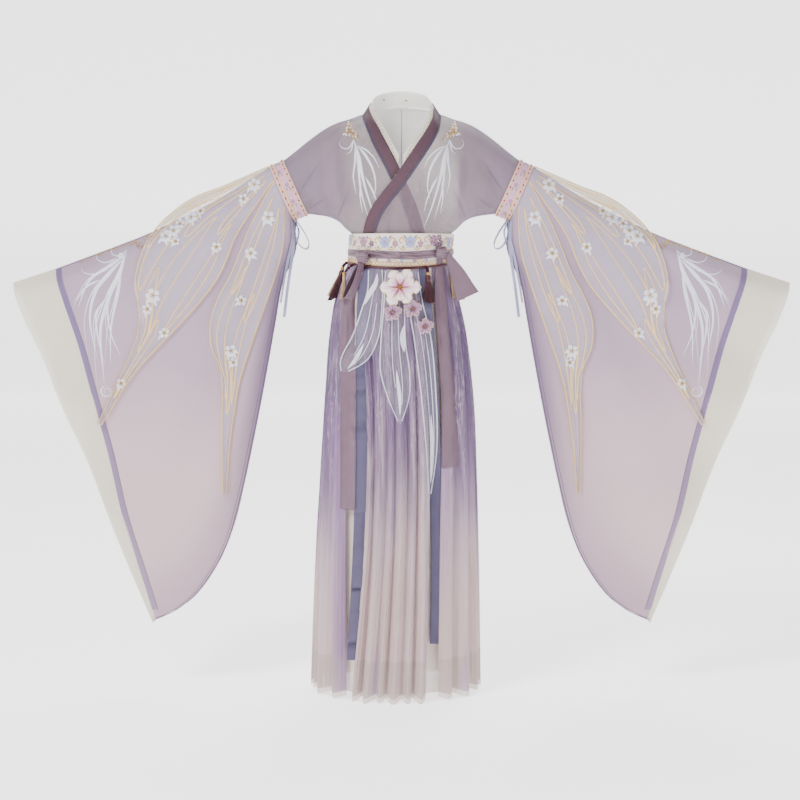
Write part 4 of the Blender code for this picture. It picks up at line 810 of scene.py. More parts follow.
def skirt_panel(word):
    """Grid of one outer panel, with its folds growing from the waist to the hem."""
    places, heights = fold_columns(PANEL_FOLDS[word])
    rows = []
    start, end = panel_edges(word, BELT_BOTTOM)
    turn = start + (end - start) * places
    ring = skirt_ring(turn, np.full(turn.shape, BELT_BOTTOM), 0.0, 0.0004 * heights)
    ring[:, 2] = belt_foot(np.radians(turn)) - SEAM_GAP
    rows.append(ring)
    for level in SKIRT_HEIGHTS:
        start, end = panel_edges(word, level)
        turn = start + (end - start) * places
        fold = smooth(SKIRT["z"], SKIRT["fold"], level) * (heights - FOLD_REST)
        z = np.full(turn.shape, level)
        if level == HEM:
            z = z + 0.006 * np.sin(np.radians(turn)) ** 2 + 0.002 * heights
        rows.append(skirt_ring(turn, z, 0.0, fold))
    return np.array(rows)


def under_ring(turn, z, inset, waves, swell):
    """A ring of an under layer: its own softer folds inside the outer skirt."""
    fold = swell * np.sin(np.radians(turn) * waves + 0.6 * np.sin(np.radians(turn) * 3))
    return skirt_ring(turn, np.full(turn.shape, z), inset, fold)


# Organza petals that hang from the waistband over the front of the skirt
APRON = {
    "right": [(-0.36, -0.078, -0.044), (-0.4109, -0.08, -0.042), (-0.4453, -0.09, -0.044),
              (-0.5143, -0.1141, -0.051), (-0.5719, -0.143, -0.0773), (-0.604, -0.143, -0.127)],
    "middle": [(-0.36, -0.038, 0.008), (-0.44, -0.042, 0.008), (-0.5368, -0.0495, 0.011),
               (-0.6, -0.05, 0.02), (-0.66, -0.033, 0.019), (-0.7191, -0.008, 0.0)],
    "left": [(-0.36, 0.013, 0.038), (-0.44, 0.015, 0.05), (-0.5254, 0.028, 0.07),
             (-0.65, 0.044, 0.081), (-0.7793, 0.056, 0.084), (-0.8956, 0.063, 0.069)]}


# Cloth finishes

PALE_THREAD = (236, 230, 234)


def sheer(name, tint, clear=0.0, sheen=0.25, streaks=0.02, crepe=0.0):
    """Thin woven cloth. tint takes the paint and gives its colour, clear is how much shows through."""
    paint = Paint(name, roughness=0.75, sheen_weight=sheen)
    threads = paint.map("cut")
    slub = paint.grain(threads, (900.0, 25.0, 1.0), 3.0)
    slub = slub + paint.grain(threads, (25.0, 900.0, 1.0), 3.0)
    cloudy = paint.noise(paint.position(), 9.0, 3.0)
    colour = paint.mix(slub * streaks + cloudy * 0.05, tint(paint), PALE_THREAD)
    weave = paint.weave(threads, 0.0011, 0.25)
    if crepe:
        crimp = paint.grain(threads, (170.0, 520.0, 1.0), 3.0)
        weave = paint.bump(crimp, crepe, 0.0012, weave)
    sockets = {"base_color": colour, "normal": weave}
    if clear:
        clear = clear(paint) if callable(clear) else clear
        sockets["alpha"] = 1 - clear * (0.55 + 0.45 * cloudy + 0.15 * (slub - 1.0))
    return paint.wear(**sockets)


def plain(*colour):
    """A tint of one colour."""
    return lambda paint: colour


def jacket_tint(paint):
    """Mauve, with soft vertical bands of painted light and shade for the folds on the body, and painted shade
    along the drag lines under the arm.
    """
    x, _, z = paint.axes(paint.position())
    x = x.away_from(0.0)
    # Painted light and shade: soft vertical bands of a lighter and a darker mauve, for the folds of the body
    hanging = paint.grain(paint.position(), (26.0, 26.0, 5.0), 2.0)
    body = paint.mix(hanging.ramp(0.35, 0.65), (108, 94, 103), (126, 112, 119))
    tone = paint.mix(x.ramp(0.09, 0.27), body, (110, 96, 110))
    # Painted shade in the creases of the drag lines
    for x0, z0, x1, z1, _, width in zip(*DRAG_LINES.values()):
        length = math.hypot(x1 - x0, z1 - z0)
        way = ((x1 - x0) / length, (z1 - z0) / length)
        along = (x - x0) * way[0] + (z - z0) * way[1]
        off = ((x - x0) * way[1] - (z - z0) * way[0]).away_from(0.0015)
        fade = along.ramp(-0.006, 0.012) * along.fall(length * 0.55, length * 1.15)
        tone = paint.mix(off.ramp(0.0006, width * 0.42, 0.62, 0.0) * fade, tone, (74, 60, 78))
    return tone


def jacket_clear(paint):
    """The chest has cream cloth behind it, and the sheer arms only have their own back."""
    x, y, _ = paint.axes(paint.position())
    beyond_chest = x.away_from(0.0).ramp(0.106, 0.14)
    in_front = y.fall(-0.004, 0.004)
    return beyond_chest * -0.3 * in_front + y.ramp(-0.004, 0.004, 0.5, 0.2)


def sleeve_tint(paint):
    """Dusky at the top, paler towards the tip, and with painted shade along the lower edge near the armlet.
    """
    x, _, z = paint.axes(paint.position())
    down = z.fall(-0.95, -0.25)
    wash = paint.noise(paint.position(), 3.0, 3.0)
    tone = paint.blend(down * 0.85 + wash * 0.25 - 0.1, (0.0, (160, 145, 161)), (0.45, (176, 160, 172)),
                       (0.8, (200, 182, 188)), (1.0, (208, 190, 193)))
    # Painted shade in a band along the lower edge, strongest near the armlet
    _, share, _ = paint.axes(paint.map("share"))
    near = x.away_from(0.0).ramp(0.29, 0.44, 0.95, 0.45)
    return paint.mix(share.ramp(0.78, 1.0) * near, tone, (112, 95, 117))


# Fall of the sleeve's top edge along the arm, and how high a wing stands where it leaves the edge
TOP_EDGE_FALL = 0.539
TOP_EDGE_LEVEL = (0.04, 0.048)


def over_sleeve(paint):
    """From 0 on the sleeve to 1 above its top edge, where the wing stands free of it."""
    x, _, z = paint.axes(paint.position())
    return (z + x.away_from(0.0) * TOP_EDGE_FALL).ramp(*TOP_EDGE_LEVEL)


def wing_tint(paint):
    return paint.mix(over_sleeve(paint), (206, 197, 209), (96, 94, 106))


def wing_clear(paint):
    return 0.66 - over_sleeve(paint) * 0.18


def stripe_tint(paint):
    _, _, z = paint.axes(paint.position())
    return paint.mix(z.ramp(-1.2, -0.4), (146, 132, 150), (108, 94, 126))


def skirt_tint(paint):
    """Purple at the waist and pale at the hem, brushed down in streaks like watercolour, with painted shade
    and painted highlights on it.
    """
    x, y, z = paint.axes(paint.position())
    threads = paint.map("cut")
    down = z.fall(-1.28, -0.36)
    brush = paint.grain(threads, (60.0, 3.0, 1.0), 4.0, 0.6, 0.4)
    wide = paint.grain(threads, (16.0, 2.0, 1.0), 3.0, 0.55, 0.6)
    pool = wide.ramp(0.38, 0.62)
    side = x.ramp(0.105, 0.15) * z.ramp(-1.02, -0.7, 0.0, 0.3)
    side = side + x.fall(-0.16, -0.115) * z.ramp(-1.25, -0.75, 0.0, 0.24)
    wash = paint.blend(down + (brush - 0.5) * 0.5 + (pool - 0.5) * 0.28 - side,
                       (0.0, (88, 70, 97)), (0.22, (116, 98, 124)), (0.42, (150, 134, 150)),
                       (0.65, (184, 170, 176)), (0.85, (194, 178, 179)), (1.0, (186, 170, 168)))
    dark = brush.ramp(0.48, 0.6) * z.ramp(-1.14, -0.58)
    wash = paint.mix(dark * 0.86, wash, (60, 38, 78))
    # Painted shade at both sides, where the skirt turns away from the front
    turned_away_shade = y.away_from(0.0).fall(0.01, 0.062) * z.ramp(-1.2, -0.85)
    wash = paint.mix(turned_away_shade * (brush * 1.1 + 0.15), wash, (68, 44, 88))
    # Painted highlights: fine pale streaks where the crinkled cloth would catch the light
    highlight_streaks = paint.grain(threads, (190.0, 16.0, 1.0), 3.0, 0.65, 1.6).ramp(0.5, 0.62)
    wash = paint.mix(highlight_streaks * pool * z.ramp(-1.25, -0.5, 0.15, 0.85), wash, (206, 194, 204))
    # Some folds stay lilac to the hem
    fold = paint.grain(threads, (13.0, 0.7, 1.0), 2.0, 0.5, 0.3).ramp(0.52, 0.6)
    wash = paint.mix(fold * z.ramp(-1.0, -0.6, 0.62, 0.0), wash, (152, 136, 158))
    # Beside both slits the cloth stays purple further down
    beside = x.ramp(-0.17, -0.158) * x.fall(-0.126, -0.122) * (brush * 0.8 + 0.25)
    beside = beside + x.ramp(0.086, 0.09) * x.fall(0.108, 0.12) * z.ramp(-1.22, -0.95, 0.0, 0.5)
    beside = beside * y.fall(-0.02, 0.0) * z.fall(-0.8, -0.6)
    wash = paint.mix(beside, wash, (132, 108, 142))
    # Below the lining's hem, where the lining has ended behind the cloth, painted shade makes it greyer for
    # the shaded inside that shows through; the hem's stitched edge is pale
    shade_below_lining = z.fall(LINING_HEM - 0.003, LINING_HEM + 0.003) * (1 - fold * 0.7)
    wash = paint.mix(shade_below_lining * 0.42, wash, (150, 142, 136))
    _, fall, _ = paint.axes(paint.map("share"))
    return paint.mix(fall.ramp(0.993, 0.995), wash, (222, 214, 210))


def solid_finish(name, colour, roughness=0.7, sheen=0.1):
    """Closely woven cloth that nothing shows through."""
    paint = Paint(name, roughness=roughness, sheen_weight=sheen)
    threads = paint.map("cut")
    cloudy = paint.noise(paint.position(), 30.0, 4.0)
    tone = paint.mix(cloudy, tuple(c * 0.92 for c in colour), tuple(c * 1.06 for c in colour))
    return paint.wear(base_color=tone, normal=paint.weave(threads, 0.0009, 0.3))


def creased_finish(name, light, dark):
    """A soft ribbon that is pulled tight, with slanting creases along it, bumped and darkened with painted
    shade.
    """
    paint = Paint(name, roughness=0.5, sheen_weight=0.1)
    threads = paint.map("cut")
    along, across, _ = paint.axes(threads)
    slant = paint.node("CombineXYZ", None, {
        0: along * 16.0 + across * 60.0, 1: across * 230.0 - along * 22.0})
    fold = paint.noise(slant, 1.0, 2.0, 0.45)
    weave = paint.weave(threads, 0.0009, 0.25)
    # The dark colour in the creases is painted shade
    return paint.wear(base_color=paint.mix(fold.ramp(0.34, 0.56), dark, light),
                      normal=paint.bump(fold, 0.7, 0.004, weave))


def metal(name, colour, roughness):
    """Small cast metal beads, a little worn."""
    paint = Paint(name, metallic=0.85)
    wear = paint.noise(paint.position(), 900.0, 3.0)
    tone = paint.mix(wear, colour, tuple(c * 0.72 for c in colour))
    return paint.wear(base_color=tone, roughness=roughness + wear * 0.25)


def stitched(name, light, dark, pitch, metallic):
    """Laid thread: light and dark turns across the line, raised as a bump."""
    paint = Paint(name, roughness=0.5, metallic=metallic, sheen_weight=0.2)
    along, across, _ = paint.axes(paint.map("cut"))
    turn = (along * (2 * math.pi / pitch) + across * (1.5 * math.pi / pitch)).sine() * 0.5 + 0.5
    uneven = paint.noise(paint.position(), 160.0, 2.0)
    colour = paint.mix(turn * 0.6 + uneven * 0.4, dark, light)
    return paint.wear(base_color=colour, normal=paint.bump(turn, 0.6, 0.0003))


def petal_finish(name, heart, blade_colour, rim):
    """Satin stitch that goes from the heart of a flower out to its corded rim."""
    paint = Paint(name, roughness=0.55, sheen_weight=0.3)
    along, across, _ = paint.axes(paint.map("share"))
    ray = (across * 30.0 + paint.noise(paint.position(), 60.0, 2.0) * 4.0).sine() * 0.5 + 0.5
    vein = across.away_from(0.0).ramp(0.02, 0.16, 0.55, 0.0)
    flush = (along + (ray - 0.5) * 0.42).ramp(0.12, 0.8)
    body = paint.mix(flush * (1 - vein * (1 - along)), heart, blade_colour)
    edge = along.ramp(0.9, 0.93).most(across.away_from(0.0).ramp(0.42, 0.45) * along.ramp(0.3, 0.5))
    colour = paint.mix(edge, body, rim)
    return paint.wear(base_color=colour, normal=paint.bump(ray * 0.5 + edge, 0.5, 0.0004))


def fringe_finish(name, colour):
    """Twisted silk threads."""
    paint = Paint(name, roughness=0.42, sheen_weight=0.08)
    x, y, z = paint.axes(paint.position())
    strand = paint.grain(paint.position(), (900.0, 900.0, 30.0), 2.0)
    tone = paint.mix(strand, tuple(c * 0.62 for c in colour), tuple(min(c * 1.3 + 10, 250) for c in colour))
    twist = (z * 4200.0 + (x + y) * 2600.0).sine()
    return paint.wear(base_color=tone, normal=paint.bump(twist, 0.3, 0.0002))


GLOW = 0.34


def glowing(finish, *colour):
    """The same finish, with a little painted light: it glows, so that the cloth in the shade inside the neck
    shows bright.
    """
    inputs = finish.node_tree.nodes["Principled BSDF"].inputs
    inputs["Emission Color"].default_value = linear(*colour)
    inputs["Emission Strength"].default_value = GLOW
    return finish


# Threads and cords: a light and a dark colour, the pitch of the turns, and how metallic they are
THREADS = {
    "gold_cord": ((230, 212, 176), (198, 172, 132), 0.0016, 0.05),
    "gold_thread": ((204, 172, 116), (158, 122, 74), 0.0016, 0.2),
    "cream_seam": ((222, 206, 196), (176, 158, 150), 0.0022, 0.0),
    "white_thread": ((244, 244, 248), (222, 222, 234), 0.0009, 0.0),
    "seam_thread": ((106, 94, 116), (80, 68, 92), 0.0022, 0.0),
    "rose_thread": ((190, 162, 180), (138, 108, 130), 0.0008, 0.0),
    "blue_thread": ((184, 188, 216), (136, 138, 176), 0.0008, 0.0),
    "violet_thread": ((142, 122, 142), (84, 66, 88), 0.0008, 0.0),
    "leaf_thread": ((150, 148, 140), (104, 100, 108), 0.0008, 0.0)}

FINISH = {
    "jacket": sheer("mauve_organza", jacket_tint, clear=jacket_clear, sheen=0.08),
    "sleeve": sheer("sleeve_organza", sleeve_tint, clear=0.14),
    "cuff": sheer("cuff_border", plain(222, 217, 205), clear=0.22),
    "stripe": sheer("cuff_stripe", stripe_tint, clear=0.16, sheen=0.1),
    "wing": sheer("wing_organza", wing_tint, clear=wing_clear, sheen=0.1),
    "skirt": sheer("skirt_organza", skirt_tint, clear=0.12, sheen=0.12, streaks=0.04, crepe=0.5),
    "under": sheer("underskirt_organza", plain(226, 217, 212), clear=0.25),
    "petal": sheer("apron_organza", plain(206, 198, 212), clear=1.05, sheen=0.05),
    "slate": solid_finish("slate_ribbon", (86, 82, 100), 0.6, 0.03),
    "lining": solid_finish("lining_satin", (214, 200, 204), 0.6),
    "plum": solid_finish("plum_band", (70, 54, 62), 0.7, 0.03),
    "piping": solid_finish("slate_piping", (64, 58, 70), 0.7, 0.02),
    # The cream cloth inside the neck glows a little: painted light
    "cream": glowing(solid_finish("cream_facing", (246, 244, 240), 0.75), 246, 244, 240),
    "lace": solid_finish("cream_lace", (222, 218, 210), 0.8),
    "brocade": solid_finish("pink_brocade", (200, 172, 190), 0.55),
    "belt": solid_finish("belt_brocade", (232, 226, 218), 0.65),
    # The sash's dark colour is painted shade in its creases
    "sash": creased_finish("sash_satin", (116, 101, 110), (68, 54, 62)),
    "tail": solid_finish("sash_tail", (108, 93, 103), 0.5, 0.05),
    "ribbon": solid_finish("tie_ribbon", (168, 168, 188), 0.5, 0.1),
    "gold": metal("gold_bead", (200, 174, 126), 0.3),
    "red_bead": metal("red_bead", (140, 34, 44), 0.25),
    "wine_bead": metal("wine_bead", (66, 24, 34), 0.3),
    "pink_flower": petal_finish("pink_flower", (186, 128, 156), (246, 238, 240), (216, 196, 160)),
    "lilac_flower": petal_finish("lilac_flower", (88, 60, 88), (162, 138, 160), (220, 200, 160)),
    "burgundy": fringe_finish("burgundy_thread", (42, 9, 21)),
    "tan": fringe_finish("tan_thread", (158, 138, 114))}
FINISH.update({name: stitched(name, *words) for name, words in THREADS.items()})


# Jacket

# The collar band's cloth, how far the cream facing laps down over the cream back, and where the
# fronts cross
BAND_THICK = 0.0016
FACING_LAP = 0.0055
CROSSING = -0.124


def build_jacket():
    """Fronts, backs, collar band, lace, and the cream cloth inside the neck."""
    for word, side, neck, lifted in FRONTS:
        panel, band = front_panel(neck, lifted)
        cloth(word + "_front", place(refine(panel, 60, 96), side), FRONT, "jacket",
              "jacket_front_" + word)
        band = place(refine(band, 9, 90), side)
        way = facing(band, FRONT)
        crown = np.sin(np.linspace(0, 1, 9) * math.pi)[:, None, None]
        cloth(word + "_band", band + way * (0.0006 + 0.001 * crown), FRONT, "plum",
              "collar_" + word, thick=BAND_THICK)
        edge = band[0] - way[0] * BAND_THICK
        beyond = unit(edge - (band[4] - way[4] * BAND_THICK))
        # Below the crossing the lace is tucked in under the band
        shown = ease(edge[:, 2], CROSSING + 0.001, CROSSING + 0.02)
        reach = np.linspace(-0.004, 1, 7)[:, None] * (0.0002 + (LACE_WIDTH - 0.0002) * shown)
        reach[0] = -0.004
        cloth(word + "_lace", edge[None] + beyond[None] * reach[:, :, None], FRONT, "lace",
              "lace_" + word, thick=0.0006)
        cloth(word + "_back", place(refine(back_panel(), 56, 84), side), BACK, "jacket",
              "jacket_back_" + word)
    turn = np.linspace(-1, 1, 61) * math.pi / 2
    seam = neck_ring(turn, BAND_END[0] - 0.0004, 0.0672, BAND_END[1] + 0.0012, BACK_NECK_TOP + 0.0012)
    upper = neck_ring(turn, 0.0784, 0.061, 0.0177, 0.051)
    facing_top = neck_ring(turn, 0.068, 0.0565, 0.0318, 0.0612)
    band = refine(np.array([seam, (seam + upper) / 2, upper]), 9, 61)
    cloth("back_band", band, BACK, "plum", "collar_back", thick=BAND_THICK)
    way = facing(band, BACK)
    foot = band[:1] - way[:1] * 0.0036 - (0, 0, FACING_LAP)
    rows = np.concatenate([foot, band[::2] - way[::2] * 0.0024, facing_top[None]])
    cloth("inner_facing", refine(rows, 17, 61), BACK, "cream", "inner_collar", thick=0.0008)
    half = refine(back_panel(), 56, 84)[:, :50]
    both = np.concatenate([place(half[:, :0:-1], -1), half], axis=1)
    cloth("inner_back_lining", both - facing(both, BACK) * 0.0024, BACK, "cream", "inner_back")


# Sleeves

STRIPE_WIDTH = 0.012


def build_sleeves():
    """Both layers of the hanging sleeves, their cuff borders and the stripe beside them."""
    (flat, depth), (cuff, cuff_depth) = sleeve_grids()
    for name, face in LAYERS:
        layer = refine(on_sleeve(flat, depth, face), 90, 90)
        border = refine(on_sleeve(cuff, cuff_depth, face), 90, 14)
        for word, side in SIDES:
            cloth("%s_sleeve_%s" % (word, name), place(layer, side), face, "sleeve",
                  "sleeve_%s_%s" % (name, word))
            cloth("%s_cuff_%s" % (word, name), place(border, side), face, "cuff",
                  "cuff_%s_%s" % (name, word))
    stripe = curve(outline(STRIPE), np.linspace(0, 0.97, 120))
    inner = stripe - (STRIPE_WIDTH, 0)
    flat = np.stack([inner, inner * 0.5 + stripe * 0.5, stripe + (0.001, 0)], axis=1)
    for name, face in LAYERS:
        for word, side in SIDES:
            sleeve = "%s_sleeve_%s" % (word, name)
            drape("%s_stripe_%s" % (word, name), flat, tree_of(sleeve), "stripe", face, side, (),
                  lift=0.0006, rest=0.0006, flutter=0, ripple=0)


ARMLET_HALF_HEIGHT = np.linalg.norm(ARMLET_TOP - ARMLET_FOOT) / 2 + 0.0012
ARMLET_RADIUS = 0.055
ARMLET_PROFILE = table("along raised", [
    (0.0, 0.0012), (0.002, 0.002), (0.004, 0.0018), (0.0056, 0.0006), (0.01, 0.0004), (0.017, 0.0006),
    (0.024, 0.0004), (0.028, 0.0006), (0.0296, 0.0018), (0.0316, 0.002), (0.0336, 0.0012)])


def armlet_middle(along):
    """Middle of the armlet, flat in x and z, at distances along the arm."""
    return (ARMLET_TOP + ARMLET_FOOT) / 2 + ARM_WAY * (np.atleast_1d(along)[:, None] + SEAM_GAP / 2)


def armlet_points(along, turn, half_height, half_depth):
    """Points round an armlet, at angles from its top and at distances along the arm."""
    foot = armlet_middle(along)
    up = half_height * np.cos(turn)
    return np.column_stack([foot[:, 0] + ARMLET_RISE[0] * up, -half_depth * np.sin(turn),
                            foot[:, 1] + ARMLET_RISE[1] * up])


def build_armlets():
    """The brocade bands with a raised edge on both sides."""
    turn = turns(96)
    rings = [armlet_points(along, turn, ARMLET_HALF_HEIGHT + raised, ARMLET_HALF_DEPTH + 0.001 + raised)
             for along, raised in zip(*ARMLET_PROFILE.values())]
    for word, side in SIDES:
        grid = place(refine(np.array(rings), 31, 96, loop=True), side)
        cloth(word + "_armlet", grid, "round", "brocade", "armlet_" + word, loop=True,
              thick=0.0016)


# Where cloth lies on cloth

def ringed(rows):
    """Faces between closed rows of points."""
    index = np.arange(rows.shape[0] * rows.shape[1]).reshape(rows.shape[:2])
    after = np.roll(index, -1, axis=1)
    return np.stack([index[:-1], after[:-1], after[1:], index[1:]], axis=2).reshape(-1, 4)


def rope(name, path, radius, finish, across):
    """A round cord along a path of points, whose rings open from a way that crosses it."""
    path = np.array(path, float)
    way = np.gradient(path, axis=0)
    first = np.cross(way, across)
    second = np.cross(way, first)
    turn = turns(8)
    rows = path[:, None]
    for arm, share in ((first, np.cos(turn)), (second, np.sin(turn))):
        rows = rows + radius * share[:, None] * unit(arm)[:, None]
    return keep(name, rows.reshape(-1, 3), ringed(rows), finish)


def balls(name, spots, radius, finish):
    """Round beads, each as rings from its top to its foot."""
    turn = turns(12)
    rise = np.linspace(1, -1, 9)[:, None] + np.zeros(12)
    reach = np.sqrt(1.02 - rise ** 2)
    ball = radius * np.dstack([reach * np.cos(turn), reach * np.sin(turn), rise])
    points = np.concatenate([(spot + ball).reshape(-1, 3) for spot in spots])
    faces = np.concatenate([ringed(ball) + order * rise.size for order in range(len(spots))])
    return keep(name, points, faces, finish)


def tree_of(*pieces):
    """A search tree over the surfaces of some pieces, each given as it is or by its name."""
    points = []
    faces = []
    for piece in pieces:
        mesh = (bpy.data.objects[piece] if isinstance(piece, str) else piece).data
        offset = len(points)
        points += [v.co for v in mesh.vertices]
        faces += [[offset + i for i in face.vertices] for face in mesh.polygons]
    return BVHTree.FromPolygons(points, faces)


# How far behind the middle a ray may hit, so that it doesn't take the other side's cloth
FAR_SIDE = 0.02


def lie(x, z, tree, side, far=FAR_SIDE):
    """The y of the outermost cloth at each x and z, seen from one side, and NaN where there is none."""
    found = np.full(np.shape(x), np.nan)
    for spot in np.ndindex(found.shape):
        start = Vector((x[spot], side * 0.5, z[spot]))
        hit = tree.ray_cast(start, Vector((0, -side, 0)))[0]
        if hit is not None and hit.y * side > -far:
            found[spot] = hit.y
    return found


def filled(y):
    """Unknown values taken from their known neighbours down the column, then across, or level."""
    for line in (*y.T, *y):
        known = np.flatnonzero(~np.isnan(line))
        if len(known):
            line[:] = np.interp(np.arange(len(line)), known, line[known])
    return np.nan_to_num(y, nan=0.0)


def calm(y, times):
    """Even out a grid of heights without moving its border."""
    for _ in range(times):
        y[1:-1, 1:-1] = (y[1:-1, 1:-1] * 2 + y[:-2, 1:-1] + y[2:, 1:-1] + y[1:-1, :-2] + y[1:-1, 2:]) / 6
    return y


def between(edges, rows, columns):
    """Flat points between two curved edges, which both start at the root."""
    across = np.linspace(0, 1, columns)[None, :, None]
    first, second = (curve(edge, np.linspace(0, 1, rows))[:, None] for edge in edges)
    return first * (1 - across) + second * across


def banner(rows, count, columns):
    """Flat points of a hanging strip: each row gives its height and its two edges in x."""
    data = curve(rows, np.linspace(0, 1, count))
    x = data[:, 1:2] + (data[:, 2:3] - data[:, 1:2]) * np.linspace(0, 1, columns)
    return np.dstack([x, np.broadcast_to(data[:, :1], x.shape)])


def drape(name, flat, tree, finish, face, side, solids, lift, rest=0.0012, flutter=0.003,
          ripple=0.0012, thick=0.0, bridging=False, tucked=0.0):
    """A loose piece that starts on other cloth, at rest, and hangs clear of it, by lift.

    Where there is no cloth under it, a bridging piece stays level with what is beside it. A tucked
    piece slips behind the edge of that cloth lower down.
    """
    down, across = shares(flat)
    base = lie(flat[:, :, 0] * side, flat[:, :, 1], tree, face)
    base = filled(base.T).T if bridging else filled(base)
    calmed = calm(base.copy(), 12)
    even = face * np.maximum(face * calmed, face * base)
    swell = flutter * np.sin(down * 9.0) * np.sin(across * math.pi)
    swell = swell + ripple * np.sin(across * 17 + down * 3.0) * ease(down, 0.05, 0.4)
    y = even + face * (rest + (lift - rest) * ease(down, 0.0, 0.35) + np.maximum(swell, -0.0006))
    if tucked:
        behind = face * np.minimum(face * calmed, face * base) - face * 0.003
        y = y + (behind - y) * ease(down, tucked - 0.04, tucked + 0.04)
    grid = np.dstack([flat[:, :, 0] * side, y, flat[:, :, 1]])
    return cloth(name, grid, face, finish, solids, thick=thick)


def build_wings():
    """The loose organza wings on the front and back of the sleeves."""
    for word, side in SIDES:
        for part, (edges, layer, face) in WINGS.items():
            sleeve = "%s_sleeve_%s" % (word, layer)
            drape("%s_%s_wing" % (word, part), between(edges, 70, 24), tree_of(sleeve), "wing", face, side,
                  "wing_%s_%s" % (part, word), lift=0.0066)


# Trims: flat shapes of x, z and height, which are then laid on cloth

def blade(points, width, form="cord", high=0.0006, step=0.006):
    """A raised stitched shape along a flat line, with the places of its threads and its faces."""
    points = np.array(points, float)
    length = np.linalg.norm(np.diff(points, axis=0), axis=1).sum()
    share = np.linspace(0, 1, max(int(length / step), 4) + 1)
    spine = curve(points, share)
    way = unit(np.gradient(spine, axis=0))
    breadth = {"cord": 0.7 + 0.3 * np.sin(share * math.pi), "leaf": np.sin(share * math.pi) ** 0.8,
               "plume": (1 - share) ** 0.8 * ease(share, -0.05, 0.25),
               "petal": (share * (2 - share)) ** 0.6 * (1 - share ** 6) ** 0.5}[form]
    offset = np.array([-1.0, 0.0, 1.0])
    reach = (breadth * width / 2)[:, None] * offset
    flat = spine[:, None] + np.column_stack([-way[:, 1], way[:, 0]])[:, None] * reach[:, :, None]
    height = (high * breadth)[:, None] * (1 - np.abs(offset))
    index = np.arange(len(share) * 3).reshape(-1, 3)
    faces = np.stack([index[:-1, :-1], index[:-1, 1:], index[1:, 1:], index[1:, :-1]], axis=2)
    down = np.broadcast_to(share[:, None], reach.shape)
    threads = {"cut": np.dstack([down * length, reach]), "share": np.dstack([down, reach / width])}
    return np.dstack([flat, height]).reshape(-1, 3), threads, faces.reshape(-1, 4).tolist()


def bead(x, z, radius):
    """A round bead, as the half of it that stands out of the cloth."""
    turn = turns(8)
    rings = [(x + radius * reach * np.cos(turn), z + radius * reach * np.sin(turn), np.full(8, radius * high))
             for reach, high in ((1.0, 0.0), (0.85, 0.75), (0.35, 1.25))]
    points = np.concatenate([np.column_stack(ring) for ring in rings])
    level = np.zeros((3, 8, 2))
    return points, {"cut": level, "share": level}, ringed(level).tolist() + [list(range(16, 24))]


def star(x, z, radius, petals, turn=0.0, width=0.75, form="petal", high=0.0012):
    """Petals or leaves round a point."""
    shapes = []
    for petal in range(petals):
        angle = turn + petal * 2 * math.pi / petals
        way = np.array([math.sin(angle), math.cos(angle)])
        shapes.append(blade([(x, z) + way * radius * 0.1, (x, z) + way * radius], radius * width, form, high,
                            radius / 6))
    return shapes


def lay(name, shapes, onto, finish, slot=None):
    """One piece from flat shapes, laid on cloth by the function onto."""
    faces = []
    start = 0
    for flat, _, around in shapes:
        faces += [[start + corner for corner in face] for face in around]
        start += len(flat)
    layers = {}
    for layer in ("cut", "share"):
        layers[layer] = np.concatenate([threads[layer].reshape(-1, 2) for _, threads, _ in shapes])
    piece = keep(name, onto(np.concatenate([flat for flat, _, _ in shapes])), faces, finish, layers)
    return piece if slot else piece


def on_cloth(tree, face=FRONT, side=1, clear=0.0003, far=FAR_SIDE):
    """Lays flat shapes on what a search tree holds, seen from the front or back."""
    def onto(flat):
        x = flat[:, 0] * side
        y = lie(x, flat[:, 1], tree, face, far)
        known = np.flatnonzero(~np.isnan(y))
        y = np.interp(np.arange(len(y)), known, y[known])
        return np.column_stack([x, y + face * (flat[:, 2] + clear), flat[:, 1]])
    return onto


def on_belt(flat):
    """Lays flat shapes round the waistband: metres round from the front, and metres up from its top."""
    turn = flat[:, 0] / BELT_HALF_WIDTH
    share = flat[:, 1] / (BELT_BOTTOM - BELT_TOP)
    raised = np.interp(share, BELT_PROFILE["share"], BELT_PROFILE["raised"])
    return belt_ring(turn, share, flat[:, 2] + raised + 0.0003)


def on_armlet(side):
    """Lays flat shapes round an armlet: metres round from its top, and metres along the arm."""
    def onto(flat):
        high = flat[:, 2]
        points = armlet_points(flat[:, 1], flat[:, 0] / ARMLET_RADIUS, ARMLET_HALF_HEIGHT + high + 0.001,
                               ARMLET_HALF_DEPTH + 0.0016 + high)
        return place(points, side)
    return onto


# Waist

BELT_PROFILE = table("share raised", [
    (0.0, 0.0), (0.04, 0.0008), (0.27, 0.0004), (0.5, 0.0), (0.78, 0.0), (0.82, 0.001), (1.0, 0.0008)])


def build_waist():
    """The waistband and the ribbon that is wrapped round it."""
    turn = turns(180)
    rows = np.array([belt_ring(turn, share, raised) for share, raised in zip(*BELT_PROFILE.values())])
    cloth("waistband", refine(rows, 40, 180, loop=True), "round", "belt", "belt", loop=True,
          thick=0.0018)
    turn = turns(300)
    rows = []
    for down in np.linspace(0, 1, 20):
        # The ribbon is wrapped with a slow twist, so its creases run slantwise from edge to edge
        slant = np.abs(np.sin(turn * 4.0 + down * 2.6)) ** 0.7
        slant = slant + 0.5 * np.abs(np.sin(turn * 6.5 + down * 4.4 + 1.0)) ** 0.6
        share = 0.528 + 0.24 * down + 0.012 * np.sin(turn * 5.0 + 1.3) * (1 - down)
        share = share + 0.01 * np.sin(turn * 7.0) * down
        rows.append(belt_ring(turn, share, 0.0018 + 0.0011 * slant * math.sin(math.pi * down) ** 0.5))
    cloth("sash_ribbon", np.array(rows), "round", "sash", "sash", loop=True, thick=0.001)


# Skirt

